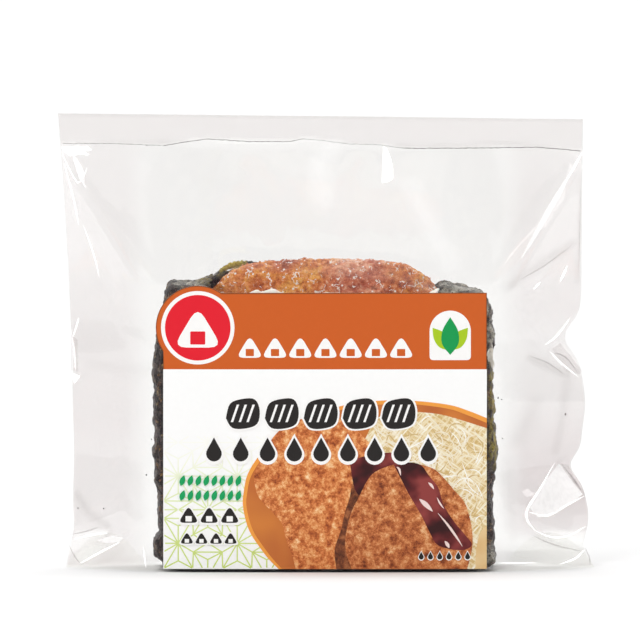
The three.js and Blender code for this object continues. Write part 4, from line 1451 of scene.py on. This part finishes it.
def make_mayonnaise():
    """A bead of mayonnaise squeezed in front of the cutlet, and a little at its right end."""
    deselect_all()
    drawing = bpy.data.curves.new("mayonnaise", "CURVE")
    drawing.dimensions = "3D"
    drawing.bevel_depth = MM
    drawing.bevel_resolution = 3
    drawing.resolution_u = 6
    for run in MAYONNAISE_RUNS:
        spline = drawing.splines.new("BEZIER")
        spline.bezier_points.add(len(run) - 1)
        for point, (x, y, z, radius) in zip(spline.bezier_points, run):
            point.co = (x * MM, y * MM, z * MM)
            point.radius = radius
            point.handle_left_type = point.handle_right_type = "AUTO"
    drawing.use_fill_caps = True
    bead = drawn("mayonnaise", drawing)
    apply_modifier(bead, "REMESH", mode="VOXEL", voxel_size=MAYONNAISE_VOXEL * MM)
    relieve(bead, lambda point, normal: point + normal * 0.35 * noise.noise(point / 1.8))
    smooth(bead)
    return finish_piece(bead, mayonnaise_sauce(), "mayonnaise")


# ---------------------------------------------------------------- the stage

def make_stage():
    """A wide pale floor, a sun from above, one from the front that no film mirrors, and two softboxes."""
    deselect_all()
    bpy.ops.mesh.primitive_plane_add(size=80, location=(0, 0, -0.0002))
    floor = named("floor")
    material, tree = new_material("pale_paper_floor")
    surface = add_node(tree, "BsdfDiffuse", {"Color": "#f2f2f2"})
    add_node(tree, "OutputMaterial", None, {"Surface": surface})
    floor.data.materials.append(material)

    world = bpy.data.worlds.new("studio")
    bpy.context.scene.world = world
    world.use_nodes = True
    tree = world.node_tree
    tree.nodes.clear()
    place = add_node(tree, "TexCoord").outputs["Generated"]
    parts = add_node(tree, "SeparateXYZ", None, {0: place})
    # The studio is dim above and on the viewer's side, white behind the pack and brighter near the floor.
    behind = add_node(tree, "MapRange", {"From Min": 0.0, "From Max": 0.5, "To Min": STUDIO_FRONT,
                                         "To Max": STUDIO_BACK}, {"Value": parts.outputs["Y"]})
    low = add_node(tree, "MapRange", {"From Min": 0.0, "From Max": 0.45, "To Min": STUDIO_LOW,
                                      "To Max": 0.0}, {"Value": parts.outputs["Z"]})
    strength = add_node(tree, "Math", {"operation": "MAXIMUM"}, {0: behind, 1: low})
    light = add_node(tree, "Background", {"Color": "#ffffff"}, {"Strength": strength})
    add_node(tree, "OutputWorld", None, {"Surface": light})

    for name, energy, spread, tilt, turn in SUNS:
        bpy.ops.object.light_add(type="SUN", rotation=(math.radians(tilt), 0, math.radians(turn)))
        lamp = bpy.context.object
        lamp.name = name
        lamp.data.energy = energy
        lamp.data.angle = math.radians(spread)
        lamp.visible_glossy = name != "front_light"

    for name, place, size, energy in SOFTBOXES:
        bpy.ops.object.light_add(type="AREA", location=place)
        lamp = bpy.context.object
        lamp.name = name
        lamp.data.size = size
        lamp.data.energy = energy
        aim = Vector((0, 0, 0.05)) - lamp.location
        lamp.rotation_euler = aim.to_track_quat("-Z", "Y").to_euler()


def make_camera():
    """A long lens, level with the pack and looking down on it by two degrees."""
    view_width, distance, drop = 147.2, 3000.0, math.radians(2)
    middle = Vector((-1.15, 0, 56.94))
    bpy.ops.object.camera_add(
        location=(middle + Vector((0, -math.cos(drop), math.sin(drop))) * distance) * MM,
        rotation=(math.pi / 2 - drop, 0, 0))
    camera = bpy.context.object
    camera.data.lens = camera.data.sensor_width * distance / view_width
    camera.data.clip_end = 200
    bpy.context.scene.camera = camera


make_film()
make_seal()
make_painted_creases()
make_specks()
make_seaweed()
make_seaweed_lip()
make_rice_core()
make_rice_grains()
make_cutlet()
make_crumbs()
make_mayonnaise()
make_label()
make_header_print()
make_hemp_leaf()
make_picture_print()
make_label_marks()
make_stage()
make_camera()
bpy.context.scene.view_settings.view_transform = "Standard"

deselect_all()
